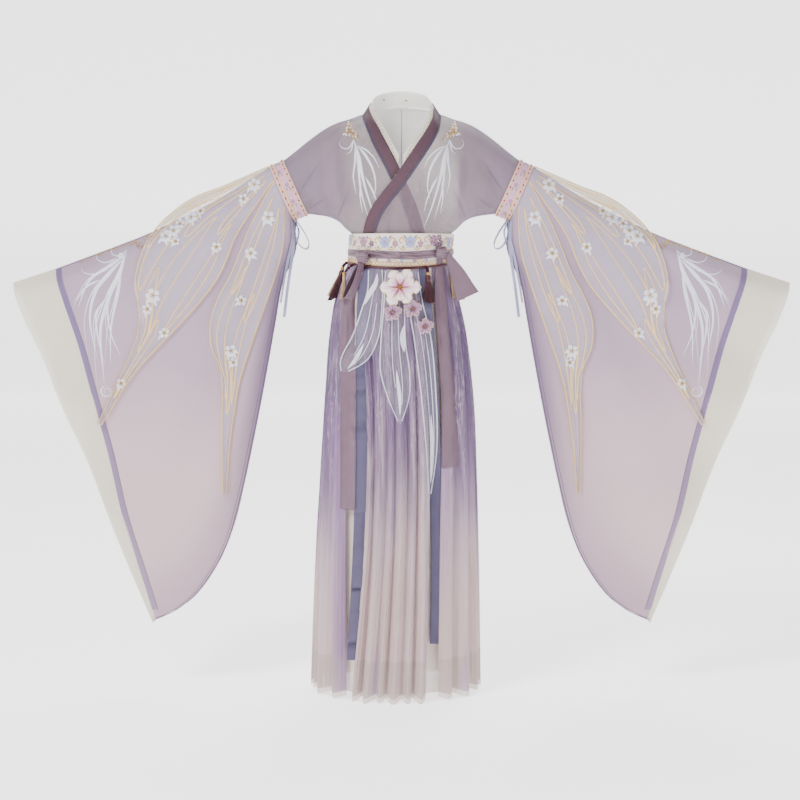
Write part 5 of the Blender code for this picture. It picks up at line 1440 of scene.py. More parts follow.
def build_skirt():
    """The outer panels, which are handed back, and the two layers under them."""
    panels = []
    for word, folds in PANEL_FOLDS.items():
        coarse = skirt_panel(word)
        # The folds that stand out hang lower at the hem
        drop = fold_columns(folds)[1]
        coarse[-1, :, 2] -= 0.0085 * drop
        fine = refine(coarse, 120, (coarse.shape[1] - 1) * 6 + 1)
        way = normals(fine)
        out = fine.copy()
        out[:, :, 2] = 0
        if (way * out).sum() < 0:
            way = -way
        down, across = shares(fine)
        crinkle = 0.0006 * np.sin(across * 211 + 3 * np.sin(down * 7))
        crinkle = crinkle + 0.0005 * np.sin(across * 383 + 5 * np.sin(down * 4))
        fine = fine + way * (crinkle * ease(down, 0.0, 0.1))[:, :, None]
        side = FRONT if word == "front" else BACK if "back" in word else "round"
        panels.append(cloth("skirt_cloth_" + word, fine, side, "skirt", "skirt_" + word,
                            held="gathered"))
    levels = table("z under_inset under_swell lining_inset", [
        (-0.42, 0.0105, 0.0006, 0.015), (-0.6, 0.0205, 0.002, 0.027),
        (-0.85, 0.025, 0.003, 0.0335), (LINING_HEM, 0.032, 0.0045, 0.042), (-1.362, 0.0335, 0.005, 0.043)])
    turn = np.arange(216) * 360.0 / 216
    start = belt_ring(np.radians(turn), 0.96, -0.003)
    rows = [start] + [under_ring(turn, z, inset, 9, swell) for z, inset, swell, _ in zip(*levels.values())]
    under = refine(np.array(rows), 70, 216, loop=True)
    quarter = 54
    for (word, face), first in zip(LAYERS, (-quarter, quarter)):
        columns = np.arange(first, first + 2 * quarter + 1) % (4 * quarter)
        cloth("underskirt_cloth_" + word, under[:, columns], face, "under", "underskirt_" + word)
    start = belt_ring(np.radians(turn), 0.96, -0.006)
    rows = [start] + [under_ring(turn, z, inset, 1, 0.0)
                      for z, _, _, inset in zip(*levels.values()) if z >= LINING_HEM]
    cloth("lining_cloth", refine(np.array(rows), 50, 216, loop=True), "round", "lining", "lining",
          loop=True)
    return panels


# Ribbons, petals, flowers and tassels of the waist. Each row gives a height and two edges in x

STREAMER = {
    "right": [(-0.356, -0.096, -0.064), (-0.4461, -0.104, -0.0684), (-0.6667, -0.109, -0.074),
              (-0.9246, -0.1111, -0.0784), (-1.1, -0.118, -0.086), (-1.278, -0.1283, -0.0977)],
    "left": [(-0.358, 0.042, 0.064), (-0.5036, 0.0473, 0.075), (-0.666, 0.06, 0.0869),
             (-0.9232, 0.067, 0.0943), (-1.1, 0.068, 0.097), (-1.243, 0.0668, 0.0996)]}
TAIL = {
    "right": [(-0.342, -0.096, -0.084), (-0.364, -0.11, -0.087), (-0.4347, -0.1452, -0.109),
              (-0.5, -0.145, -0.108), (-0.6675, -0.1435, -0.1062), (-0.8, -0.144, -0.107),
              (-0.925, -0.1442, -0.109)],
    "left": [(-0.334, 0.085, 0.096), (-0.36, 0.08, 0.0985), (-0.4347, 0.0765, 0.1055),
             (-0.55, 0.085, 0.115),
             (-0.6675, 0.092, 0.1246), (-0.827, 0.0946, 0.1344)]}
SHORT_TAIL = table("z left right y rise", [
    (-0.327, 0.0985, 0.111, -0.085, 0.003), (-0.372, 0.112, 0.144, -0.087, 0.01),
    (-0.415, 0.123, 0.168, -0.0885, 0.017), (-0.44, 0.129, 0.181, -0.09, 0.024)])
KNOTS = (("knot_right", -41.0, (0.019, 0.0105, 0.015)), ("knot_left", 45.0, (0.018, 0.0105, 0.015)))


def knot(name, turn, size):
    """A tied lump of ribbon, wrapped round twice, where its solid lies."""
    low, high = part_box(name)
    centre = (np.array(low) + np.array(high)) / 2
    angle = math.radians(turn)
    out = np.array([math.sin(angle), -math.cos(angle), 0.0])
    side = np.array([math.cos(angle), math.sin(angle), 0.0])
    lean, around = np.meshgrid(np.linspace(0.04, 0.96, 48) * math.pi, turns(72), indexing="ij")
    wrap = 0.88 + 0.26 * np.abs(np.sin(2.4 * lean + 1.2 * np.sin(around) + 0.4)) ** 0.5
    wrap = wrap * (0.95 + 0.08 * np.abs(np.cos(4.5 * lean - 2.3 * np.sin(around))) ** 0.6)
    broad = np.sin(lean) ** 0.55 * wrap
    across = size[0] * 0.86 * broad * np.cos(around)
    deep = size[1] * 0.95 * broad * np.sin(around)
    grid = centre + side * across[:, :, None] + out * deep[:, :, None]
    grid = grid + np.array([0, 0, 1.0]) * (size[2] * np.cos(lean))[:, :, None]
    cloth(name + "_ribbon", grid, "round", "sash", name, loop=True, held=None)


def ribbon_loop(name, top, foot, width, bulge, finish, solids=(), turned=0.0):
    """A hanging loop of ribbon whose ends meet at its knot, turned so that its inside shows."""
    angle = np.linspace(0.06, 0.94, 60)[:, None] * 2 * math.pi
    down = (1 - np.cos(angle)) / 2
    top = np.array(top)
    foot = np.array(foot)
    spine = top + (foot - top) * down
    swell = bulge * np.sin(angle) * (0.35 + 0.65 * down)
    across = np.linspace(-1, 1, 9)
    aside = width * (0.55 + 0.45 * down) / 2 * across
    out = swell * (1 + 0.1 * (1 - across ** 2)) + 0.0008 * np.sin(across * 7 + down * 5)
    x = spine[:, :1] + aside * math.cos(turned) - out * math.sin(turned)
    y = spine[:, 1:2] - out * math.cos(turned) - aside * math.sin(turned)
    z = spine[:, 2:] + 0.002 * (1 - across)
    cloth(name, np.dstack([x, y, z]), "round", finish, solids, thick=0.0007, held="folded")


def build_ribbons(skirt):
    """What hangs over the skirt, one thing over the other. Hands back the skirt with its streamers, tails and
    petals.
    """
    tree = tree_of(*skirt)
    shown = list(skirt)
    for word, rows in STREAMER.items():
        shown.append(drape(word + "_streamer", banner(rows, 160, 13), tree, "slate", FRONT, 1,
                           "streamer_" + word, lift=0.0022, rest=0.0016, flutter=0.0012,
                           thick=0.0006, bridging=True, tucked=0.16))
    tree = tree_of(*shown, "waistband", "sash_ribbon")
    for word, rows in TAIL.items():
        shown.append(drape(word + "_tail", banner(rows, 120, 13), tree, "tail", FRONT, 1,
                           "tail_" + word, lift=0.0028, rest=0.0018, flutter=0.0016,
                           thick=0.0008, bridging=True))
    rows = [[(left, y, z), ((left + right) / 2, y - 0.0015, z + rise / 2), (right, y + 0.001, z + rise)]
            for z, left, right, y, rise in zip(*SHORT_TAIL.values())]
    shown.append(cloth("left_short_tail", refine(rows, 40, 13), FRONT, "tail", "tail_left_short",
                       thick=0.0008))
    for name, turn, size in KNOTS:
        knot(name, turn, size)
    low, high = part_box("loop_right")
    depth = (low[1] + high[1]) / 2
    ribbon_loop("right_loop", (-0.093, -0.096, -0.3481), (-0.125, depth - 0.006, -0.435), 0.03, 0.011,
                "tail", "loop_right", turned=-0.85)
    tree = tree_of(*shown)
    for word, rows in APRON.items():
        shown.append(drape(word + "_petal", banner(rows, 90, 15), tree, "petal", FRONT, 1,
                           "apron_" + word, lift=0.003, rest=0.0014, flutter=0.0014))
    return shown


PETAL_LAYERS = 2
STAMENS = 11


def bloom(name, solid, petals, finish, large=False):
    """An applique flower of cupped petals in layers, where its solid lies."""
    low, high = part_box(solid)
    middle = (np.array(low) + np.array(high)) / 2
    radius = (high[2] - low[2]) / 2 * (1.16 if large else 1.08)
    along, across = np.meshgrid(np.linspace(0, 1, 14), np.linspace(-1, 1, 11), indexing="ij")
    breadth = along ** 1.1 * (1 - along ** 7) ** 0.5 * 2.55 / petals
    points = []
    faces = []
    index = np.arange(along.size).reshape(along.shape)
    square = np.stack([index[:-1, :-1], index[1:, :-1], index[1:, 1:], index[:-1, 1:]], axis=2).reshape(-1, 4)
    for layer in range(PETAL_LAYERS):
        for petal in range(petals):
            size = radius * (1.0 - 0.27 * layer + 0.07 * math.sin(petal * 2.3 + layer))
            angle = (petal + 0.5 * (layer + large) + 0.14 * math.sin(petal * 3.1)) * 2 * math.pi / petals
            notch = 0.09 * np.exp(-(across / 0.22) ** 2) * along ** 4
            reach = size * (0.04 + 0.96 * along) * (1 - 0.14 * across ** 2 * along - notch)
            aside = size * breadth * across
            ruffle = 0.035 * np.sin(across * 6.0 + along * 5.0 + petal * 1.7) * along ** 1.5
            cupped = 0.2 * np.sin(along * 2.5) - 0.1 * across ** 2 * along
            height = 0.1 * layer + 0.05 + size / radius * cupped
            height = height + ruffle + 0.03 * np.exp(-(across / 0.16) ** 2) * along
            x = middle[0] + reach * math.sin(angle) + aside * math.cos(angle)
            z = middle[2] + reach * math.cos(angle) - aside * math.sin(angle)
            faces.append(square + len(points) * along.size)
            points.append(np.dstack([x, high[1] - radius * height, z]).reshape(-1, 3))
    share = np.tile(np.stack([along, across / 2], axis=2).reshape(-1, 2), (len(points), 1))
    layers = {"share": share, "cut": share * radius}
    piece = keep(name, np.concatenate(points), np.concatenate(faces), finish, layers)
    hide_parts(solid)
    stamens = []
    tiny = radius * 0.045
    for order in range(STAMENS):
        turn = order * 2.4
        reach = tiny * math.sqrt(order)
        stamens.append(bead(middle[0] + reach * math.cos(turn), middle[2] + reach * math.sin(turn), tiny))
    lay(name + "_stamens", stamens, on_cloth(tree_of(piece)), "gold")


def build_flowers():
    bloom("great_flower", "flower", 6, "pink_flower", True)
    for order in (1, 2, 3):
        bloom("small_flower_%d" % order, "blossom_%d" % order, 5, "lilac_flower")


# A tassel's threads, how far one at the hip leans in to the skirt, how much fuller it is than its
# solid, and the length of its bound head, in metres and at most as a share of the whole
TASSEL_THREADS = 150
TASSEL_LEAN = 0.8
TASSEL_FULL = 1.15
HEAD_LENGTH = 0.016
HEAD_SHARE = 0.34
THREAD_RADIUS = 0.0007

# The turn from each thread to the next one, which makes them fill a round evenly
GOLDEN_TURN = 2.39996

# A tassel's bound head: how far down its length, and how wide
TASSEL_HEAD = ((0.0, 0.1), (0.06, 0.42), (0.25, 0.66), (0.5, 0.72), (0.62, 0.66), (0.66, 0.74),
               (0.8, 0.74), (0.84, 0.66), (1.0, 0.72), (1.3, 0.6))


def tassel(name, tone):
    """A bead, a bound head and many threads, where the tassel's solid lies."""
    low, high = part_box(name)
    x, y = (low[0] + high[0]) / 2, (low[1] + high[1]) / 2
    length = high[2] - low[2]
    wide = min(high[0] - low[0], high[1] - low[1]) / 2 * TASSEL_FULL
    head = min(HEAD_LENGTH, length * HEAD_SHARE)
    turned = math.atan2(x, -y)
    aside = np.array([math.cos(turned), math.sin(turned)])
    out = np.array([math.sin(turned), -math.cos(turned)])
    turn = turns(28)
    wound = 1 + 0.05 * np.cos(turn * 14)
    rings = []
    for down, reach in TASSEL_HEAD:
        round_by = wide * reach * wound
        rings.append(np.column_stack([x + round_by * np.cos(turn), y + round_by * np.sin(turn),
                                      np.full(28, high[2] - head * down)]))
    strand = ringed(np.zeros((4, 3)))
    faces = ringed(np.array(rings)).tolist()
    points = np.concatenate(rings).tolist()
    for order in range(TASSEL_THREADS):
        spot = math.sqrt((order + 0.5) / TASSEL_THREADS)
        angle = order * GOLDEN_TURN
        lean = 0.08 * math.sin(order * 1.3)
        drop = (length - head) * (0.93 + 0.07 * math.sin(order * 2.4))
        start = len(points)
        for share in (0.0, 0.25, 0.6, 1.0):
            # The threads spread along the cloth that they hang on more than away from it
            swung = angle + lean * share
            spread_out = wide * spot * (0.66 + 0.94 * share ** 0.8)
            lifted = wide * (spot * (0.66 + 0.84 * share ** 0.8) * math.sin(swung) + 0.55 * share)
            at = aside * spread_out * math.cos(swung) + out * lifted + (x, y)
            for corner in range(3):
                around = angle + corner * 2 * math.pi / 3
                points.append((at[0] + THREAD_RADIUS * math.cos(around),
                               at[1] + THREAD_RADIUS * math.sin(around), high[2] - head - drop * share))
        faces += (strand + start).tolist()
    seam = belt_ring(np.array([turned]), 0.985, 0.0004)[0]
    lean_in = max(0.0, math.hypot(x - BELT_MIDDLE, y) - math.hypot(*seam[:2]) - wide)
    lean_in *= TASSEL_LEAN if abs(turned) > math.pi / 3 else 0.0

    def leant(spots):
        spots = np.array(spots, float)
        share = np.clip((spots[:, 2] - high[2] + length) / length, 0, 1.2)
        spots[:, :2] -= out * (lean_in * share)[:, None]
        return spots

    piece = keep(name + "_threads", leant(points), faces, tone)
    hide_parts(name)
    top = leant([(x, y, high[2] + 0.004)])[0]
    way = [seam + (top - seam) * share + (*(out * 0.003 * math.sin(math.pi * share)), 0.0)
           for share in np.linspace(0, 1, 9)]
    rope(name + "_hanger", way, 0.0016, "burgundy", (*aside, 0.0))
    balls(name + "_bead", leant([(x, y, high[2] + 0.002)]), 0.0046, "gold")
    balls(name + "_small_beads", way[2:8:2], 0.0034, "wine_bead")


TASSELS = (("tassel_right_hip", "burgundy"), ("tassel_right_side", "tan"), ("tassel_right_front", "tan"),
           ("tassel_middle", "burgundy"), ("tassel_left_side", "tan"), ("tassel_left_hip", "burgundy"))


def build_ties():
    """A small ribbon bow under each armlet: its hanging end, a second end and two loops."""
    for word, side in SIDES:
        tree = tree_of(word + "_sleeve_front")
        drape(word + "_tie", between(TIE, 50, 7), tree, "ribbon", FRONT, side, "tie_" + word,
              lift=0.0046, rest=0.0016, flutter=0.001)
        _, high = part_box("tie_" + word)
        knot_at = np.array([0.252 * side, high[1] - 0.004, -0.25])
        end = place([[(0.248, -0.252), (0.256, -0.3), (0.27, -0.356), (0.286, -0.444)],
                     [(0.2535, -0.252), (0.2615, -0.3), (0.2755, -0.356), (0.291, -0.444)]], 1)
        drape(word + "_tie_end", between(end, 40, 5), tree, "ribbon", FRONT, side, (),
              lift=0.0066, rest=0.0026, flutter=0.001)
        for number, (reach, drop, bulge) in enumerate(((-0.024, -0.068, 0.018), (-0.002, -0.046, 0.009))):
            foot = knot_at + (reach * side, -0.002, drop)
            ribbon_loop("%s_tie_loop_%d" % (word, number + 1), knot_at, foot, 0.0075, bulge, "ribbon",
                        turned=1.25 * side * (1 if number else -1))


# Embroidery, cords and beads, in a generic layout. Left side, mirrored for the right

# Cells of cord on each wing: where a cell starts and ends along it, where its middle lies across it,
# its half width, and how far it leans across
WING_CELLS = {
    "upper": table("start end middle width lean", [
        (0.02, 0.28, 0.14, 0.06, -0.04), (0.02, 0.34, 0.38, 0.07, -0.02), (0.02, 0.26, 0.66, 0.06, 0.06),
        (0.16, 0.56, 0.24, 0.1, -0.12), (0.22, 0.68, 0.52, 0.1, -0.06), (0.2, 0.62, 0.8, 0.06, 0.06),
        (0.46, 0.74, 0.3, 0.1, 0.1), (0.08, 0.44, 0.1, 0.03, -0.04), (0.6, 0.9, 0.6, 0.16, 0.0)]),
    "lower": table("start end middle width lean", [
        (0.03, 0.36, 0.26, 0.09, -0.04), (0.03, 0.42, 0.66, 0.09, 0.04), (0.26, 0.7, 0.28, 0.12, 0.0),
        (0.32, 0.7, 0.68, 0.09, 0.02), (0.54, 0.74, 0.46, 0.12, 0.0)]),
    "back": table("start end middle width lean", [
        (0.03, 0.45, 0.3, 0.12, -0.04), (0.03, 0.52, 0.68, 0.1, 0.04), (0.35, 0.92, 0.44, 0.15, 0.0)])}


def cell(start, end, middle, width, lean):
    """A long closed loop of cord, round at its far end and pointed at its root, as wing shares."""
    turn = np.linspace(0.02, 0.98, 17) * 2 * math.pi
    share = (1 - np.cos(turn)) / 2
    return np.column_stack([start + (end - start) * share,
                            middle + lean * share + width * np.sin(turn) * share ** 0.3])


# Flowers on the wings: place, radius and turn
WING_FLOWERS = table("x z radius turn", [
    (0.348, -0.164, 0.0125, 0.2), (0.372, -0.198, 0.01, 0.9), (0.498, -0.24, 0.0125, 0.4),
    (0.524, -0.256, 0.0095, 1.2), (0.556, -0.286, 0.012, 0.0), (0.436, -0.312, 0.01, 0.6),
    (0.476, -0.226, 0.009, 1.5), (0.538, -0.272, 0.011, 0.7), (0.533, -0.298, 0.0085, 0.2),
    (0.588, -0.426, 0.014, 0.3), (0.602, -0.458, 0.01, 1.0), (0.564, -0.515, 0.01, 0.1),
    (0.668, -0.635, 0.01, 0.7), (0.314, -0.242, 0.0125, 0.5), (0.356, -0.326, 0.011, 1.1),
    (0.38, -0.438, 0.01, 0.0), (0.406, -0.558, 0.012, 0.8), (0.401, -0.586, 0.009, 0.3)])


def in_wing(edges, vein):
    """Flat points of a vein from its shares along and across a wing."""
    along, across = np.array(vein).T
    first = curve(edges[0], along)
    second = curve(edges[1], along)
    return first * (1 - across)[:, None] + second * across[:, None]


# How far a rim's cord lies in from each edge as a share of the wing's breadth, how much larger the
# wings' flowers are than their table says, and the turn from one of their five petals to the next
RIM_INSET = 0.008
FLOWER_SCALE = 1.3
FIFTH_TURN = 1.2566


def rim(edges):
    """Both edges of a wing as lines of stitching that meet at its tip."""
    share = np.linspace(0, 0.995, 14)
    first, second = (curve(edge, share) for edge in edges)
    return first + (second - first) * RIM_INSET, second + (first - second) * RIM_INSET


def build_wing_trims():
    """Cords on all the wings, and the flowers and beads on the front ones."""
    for word, side in SIDES:
        for part, face, names in (("front", FRONT, ("upper", "lower")), ("back", BACK, ("back",))):
            pieces = ["%s_%s_wing" % (word, name) for name in names] + ["%s_sleeve_%s" % (word, part)]
            onto = on_cloth(tree_of(*pieces), face, side)
            cords = []
            for name in names:
                edges = WINGS[name][0]
                cords += [blade(line, 0.0036, "cord", 0.001) for line in rim(edges)]
                cords += [blade(in_wing(edges, cell(*row)), 0.003, "cord", 0.0008)
                          for row in zip(*WING_CELLS[name].values())]
            lay("%s_wing_cords_%s" % (word, part), cords, onto, "gold_cord", "wing_organza")
        flowers = []
        hearts = []
        for x, z, radius, turn in zip(*WING_FLOWERS.values()):
            radius = radius * FLOWER_SCALE
            flowers += star(x, z, radius, 5, turn, 0.78)
            hearts += [bead(x, z, 0.0024)]
            for angle in turn + FIFTH_TURN * np.arange(5) + 0.63:
                hearts.append(bead(x + radius * 0.3 * math.sin(angle),
                                   z + radius * 0.3 * math.cos(angle), 0.0016))
            for reach, bend in ((1.7, 2.4), (1.5, 3.3), (1.2, 4.0)):
                if radius < 0.014 and reach < 1.6:
                    continue
                tip = np.array([math.sin(turn * 0.6 + bend), math.cos(turn * 0.6 + bend)]) * radius * reach
                bow = (x + tip[0] * 0.6 + radius * 0.15, z + tip[1] * 0.5)
                flowers.append(blade([(x, z), bow, (x + tip[0], z + tip[1])], radius * 0.42, "leaf"))
        lay(word + "_wing_flowers", flowers, onto_front(word, side), "white_thread", "wing_organza")
        lay(word + "_wing_flower_beads", hearts, onto_front(word, side, 0.0012), "gold", "wing_organza")


def chance(order, salt=0.0):
    """An even scatter between 0 and 1 that is the same each time."""
    return (math.sin(order * 12.9898 + salt * 78.233) * 43758.5453) % 1.0


def onto_front(word, side, clear=0.0005):
    """Lays flat shapes on the front of a hanging sleeve and its wings."""
    pieces = [word + "_upper_wing", word + "_lower_wing", word + "_sleeve_front"]
    return on_cloth(tree_of(*pieces), FRONT, side, clear)


# The white sprig on a hanging sleeve: the width and the line of each plume, its curls,
# and the middle of the spiral at its tip
SLEEVE_PLUMES = (
    (0.0125, [(0.65, -0.318), (0.664, -0.366), (0.692, -0.426), (0.716, -0.51), (0.708, -0.64)]),
    (0.0115, [(0.656, -0.338), (0.69, -0.372), (0.724, -0.415), (0.74, -0.48), (0.73, -0.56)]),
    (0.01, [(0.654, -0.332), (0.69, -0.356), (0.738, -0.39), (0.768, -0.456)]), (0.0085, [(0.662, -0.358),
    (0.672, -0.42), (0.69, -0.5), (0.694, -0.596)]), (0.007, [(0.684, -0.402), (0.698, -0.46),
    (0.69, -0.52), (0.668, -0.574)]), (0.007, [(0.7, -0.43), (0.724, -0.47), (0.722, -0.53),
    (0.708, -0.59)]), (0.006, [(0.712, -0.388), (0.746, -0.406), (0.776, -0.446)]))
SLEEVE_CURLS = (
    [(0.65, -0.318), (0.668, -0.332), (0.686, -0.328), (0.69, -0.314), (0.68, -0.306)],
    [(0.668, -0.336), (0.7, -0.348), (0.722, -0.34), (0.726, -0.326), (0.716, -0.322)],
    [(0.696, -0.366), (0.734, -0.376), (0.756, -0.368), (0.76, -0.356)])
SPIRAL = (0.703, -0.655)

# Beads along a sleeve's top edge: how many, where they start in x, and how far apart they are
TOP_BEADS = 110
TOP_BEADS_START = 0.592
TOP_BEADS_STEP = 0.0016


def build_sleeve_trims():
    """A white sprig between each wing and the stripe, beads on the top line, and the seam lines."""
    spiral = np.linspace(0, 3.4 * math.pi, 20)
    reach = 0.015 - 0.0115 * spiral / spiral[-1]
    tip = np.column_stack([SPIRAL[0] + reach * np.sin(spiral), SPIRAL[1] + reach * np.cos(spiral)])
    for word, side in SIDES:
        onto = onto_front(word, side, 0.0003)
        shapes = [blade(line, width, "plume", 0.0014) for width, line in SLEEVE_PLUMES]
        # Beside each plume runs a fine line that parts from it
        shapes += [blade([(x + 0.0045 * order, z - 0.002 * order) for order, (x, z) in enumerate(line)],
                         width * 0.36, "plume") for width, line in SLEEVE_PLUMES]
        shapes += [blade(line, 0.0042, "plume", step=0.003) for line in (*SLEEVE_CURLS, tip)]
        shapes += star(0.664, -0.332, 0.0085, 5, 0.3, form="leaf")
        lay(word + "_sleeve_sprig", shapes, onto, "white_thread", "sleeve_organza")
        spots = []
        for order in range(TOP_BEADS):
            x = TOP_BEADS_START + TOP_BEADS_STEP * order
            deep = 0.005 + 0.024 * math.exp(-((x - 0.618) / 0.018) ** 2)
            z = float(smooth(TOP_LINE["x"], TOP_LINE["z"], x)) - 0.003 - deep * chance(order)
            if x < 0.645 or order % 3 == 0:
                spots.append(bead(x, z, 0.0013 + 0.0009 * chance(order, 1.0)))
        lay(word + "_top_beads", spots, onto, "gold", "sleeve_organza")
        edge = curve(outline(SLEEVE_LOWER), np.linspace(0.0, 1.0, 40))
        inner = curve(outline(STRIPE), np.linspace(0, 0.97, 30)) - (STRIPE_WIDTH + 0.0012, 0)
        top = curve(outline(TOP_LINE)[8:-1], np.linspace(0, 1, 20))
        seams = [blade(edge + (0.0035, 0), 0.003, "cord", 0.0004), blade(inner, 0.0016, "cord", 0.0003),
                 blade(edge[4:] + (0.01, 0), 0.0013, "cord", 0.0003),
                 blade(top - (0, 0.003), 0.002, "cord", 0.0003)]
        lay(word + "_sleeve_seams", seams, onto, "seam_thread", "sleeve_organza")


# The white sprig on the chest, in the same form
CHEST_PLUMES = (
    (0.0088, [(0.112, -0.062), (0.1, -0.1), (0.088, -0.16), (0.072, -0.215), (0.052, -0.268)]),
    (0.0072, [(0.106, -0.08), (0.1, -0.12), (0.096, -0.17), (0.086, -0.215), (0.074, -0.252)]),
    (0.0076, [(0.104, -0.076), (0.084, -0.1), (0.066, -0.134), (0.06, -0.172), (0.066, -0.204)]),
    (0.0056, [(0.108, -0.078), (0.108, -0.115), (0.112, -0.15), (0.105, -0.192)]), (0.005, [(0.1, -0.078),
    (0.082, -0.088), (0.064, -0.106), (0.05, -0.134)]), (0.006, [(0.084, -0.15), (0.07, -0.176),
    (0.058, -0.206), (0.052, -0.232)]), (0.0048, [(0.094, -0.16), (0.096, -0.196), (0.09, -0.236)]))
CHEST_CURLS = (
    [(0.112, -0.062), (0.122, -0.082), (0.138, -0.082), (0.146, -0.07), (0.14, -0.061)],
    [(0.112, -0.062), (0.118, -0.09), (0.13, -0.098)])
CHEST_BEADS = 190

# The piping's rows: how far beyond the band's edge each lies, and how high
PIPING_PROFILE = ((-0.0015, 0.0012), (0.0015, 0.0018), (0.0045, 0.0009))


def build_bodice_trims():
    """Beads and plumes on the chest, the piping along both bands, and the seam lines."""
    tree = tree_of("left_front", "right_front", "left_band", "right_band", "left_lace", "right_lace")
    for word, side, neck, lifted in FRONTS:
        # Each sprig lies on its own front, so the front that laps over it covers its end
        onto = on_cloth(tree_of(word + "_front"), FRONT, side)
        shapes = [blade(line, width, "plume", 0.0012) for width, line in CHEST_PLUMES]
        shapes += [blade(line, 0.0034, "plume") for line in CHEST_CURLS]
        lay(word + "_chest_sprig", shapes, onto, "white_thread", "mauve_organza")
        gold = []
        white = []
        for order in range(CHEST_BEADS):
            # Scattered places in a wedge that points down to the neck
            first, second = chance(order), chance(order, 2.0)
            if first + second > 1:
                first, second = 1 - first, 1 - second
            x = 0.127 + 0.009 * first - 0.033 * second
            z = -0.015 - 0.034 * first - 0.05 * second
            large = order % 5 == 0
            (white if order % 3 == 0 else gold).append(bead(x, z, 0.0013 + 0.0009 * large))
        lay(word + "_chest_beads", gold, onto, "gold", "mauve_organza")
        lay(word + "_chest_pearls", white, onto, "white_thread", "mauve_organza")
        top = shoulder_points(BAND_END[0] + 0.002, 16) - (0, 0.003)
        under = curve(outline(UNDERARM)[1:], np.linspace(0.0, 1, 18)) + (0, 0.0035)
        seams = [blade(line, 0.0024, "cord", 0.0004) for line in (top, under)]
        lay(word + "_chest_seams", seams, onto, "seam_thread", "mauve_organza")
        band = place(refine(front_panel(neck, lifted)[1], 9, 90), side)
        way = facing(band, FRONT)[-1]
        beyond = unit(band[-1] - band[4])
        piping = np.array([band[-1] + beyond * reach + way * high for reach, high in PIPING_PROFILE])
        cloth(word + "_piping", piping[:, 3:], FRONT, "piping", held="laid")
    spots = []
    for _, side, neck, _ in FRONTS:
        (edge, _, _), inward = neck_strip(neck)
        share = np.linspace(0.3, 0.97, 80)
        reach = 0.005 + 0.0036 * np.sin(np.arange(80) * 2.3)
        line = curve(edge, share) - curve(unit(inward), share) * reach[:, None]
        spots += [bead(x * side, z, 0.0006 + 0.0004 * (order % 3)) for order, (x, z) in enumerate(line)
                  if z > CROSSING + 0.012]
    lay("lace_beads", spots, on_cloth(tree), "gold", "cream_lace")


def build_neck_trims():
    """Two studs, the seam of the facing and the centre seam inside the back of the neck."""
    onto = on_cloth(tree_of("inner_facing", "inner_back_lining"), clear=0.0002, far=0.2)
    studs = [bead(x, 0.04, 0.0026) for x in (-0.042, 0.011)]
    lay("neck_studs", studs, onto, "gold", "cream_lace")
    foot = BACK_NECK_TOP + 0.0012 - FACING_LAP
    seams = [blade([(x, foot + 0.0012) for x in (-0.046, -0.02, 0.0, 0.02, 0.046)], 0.0022),
             blade([(0.0, foot), (0.0, -0.05), (0.0, -0.12)], 0.0026)]
    lay("neck_seams", seams, onto, "cream_seam", "cream_lace")


# Waistband: how often its pattern of flowers, leaves and scrolls comes round, the levels of its large
# and low flowers, and the lattice under them, all in metres from its top
BELT_TURNS = 13
FLOWER_LEVEL = -0.0165
LOW_LEVEL = -0.0527
LATTICE_CELLS = 84
LATTICE_TOP = -0.056
LATTICE_FOOT = -0.064


def beside(x, z, hand, *steps):
    """Flat points at steps aside and up from a place. The hand, 1 or -1, mirrors them."""
    return [(x + hand * aside, z + up) for aside, up in steps]


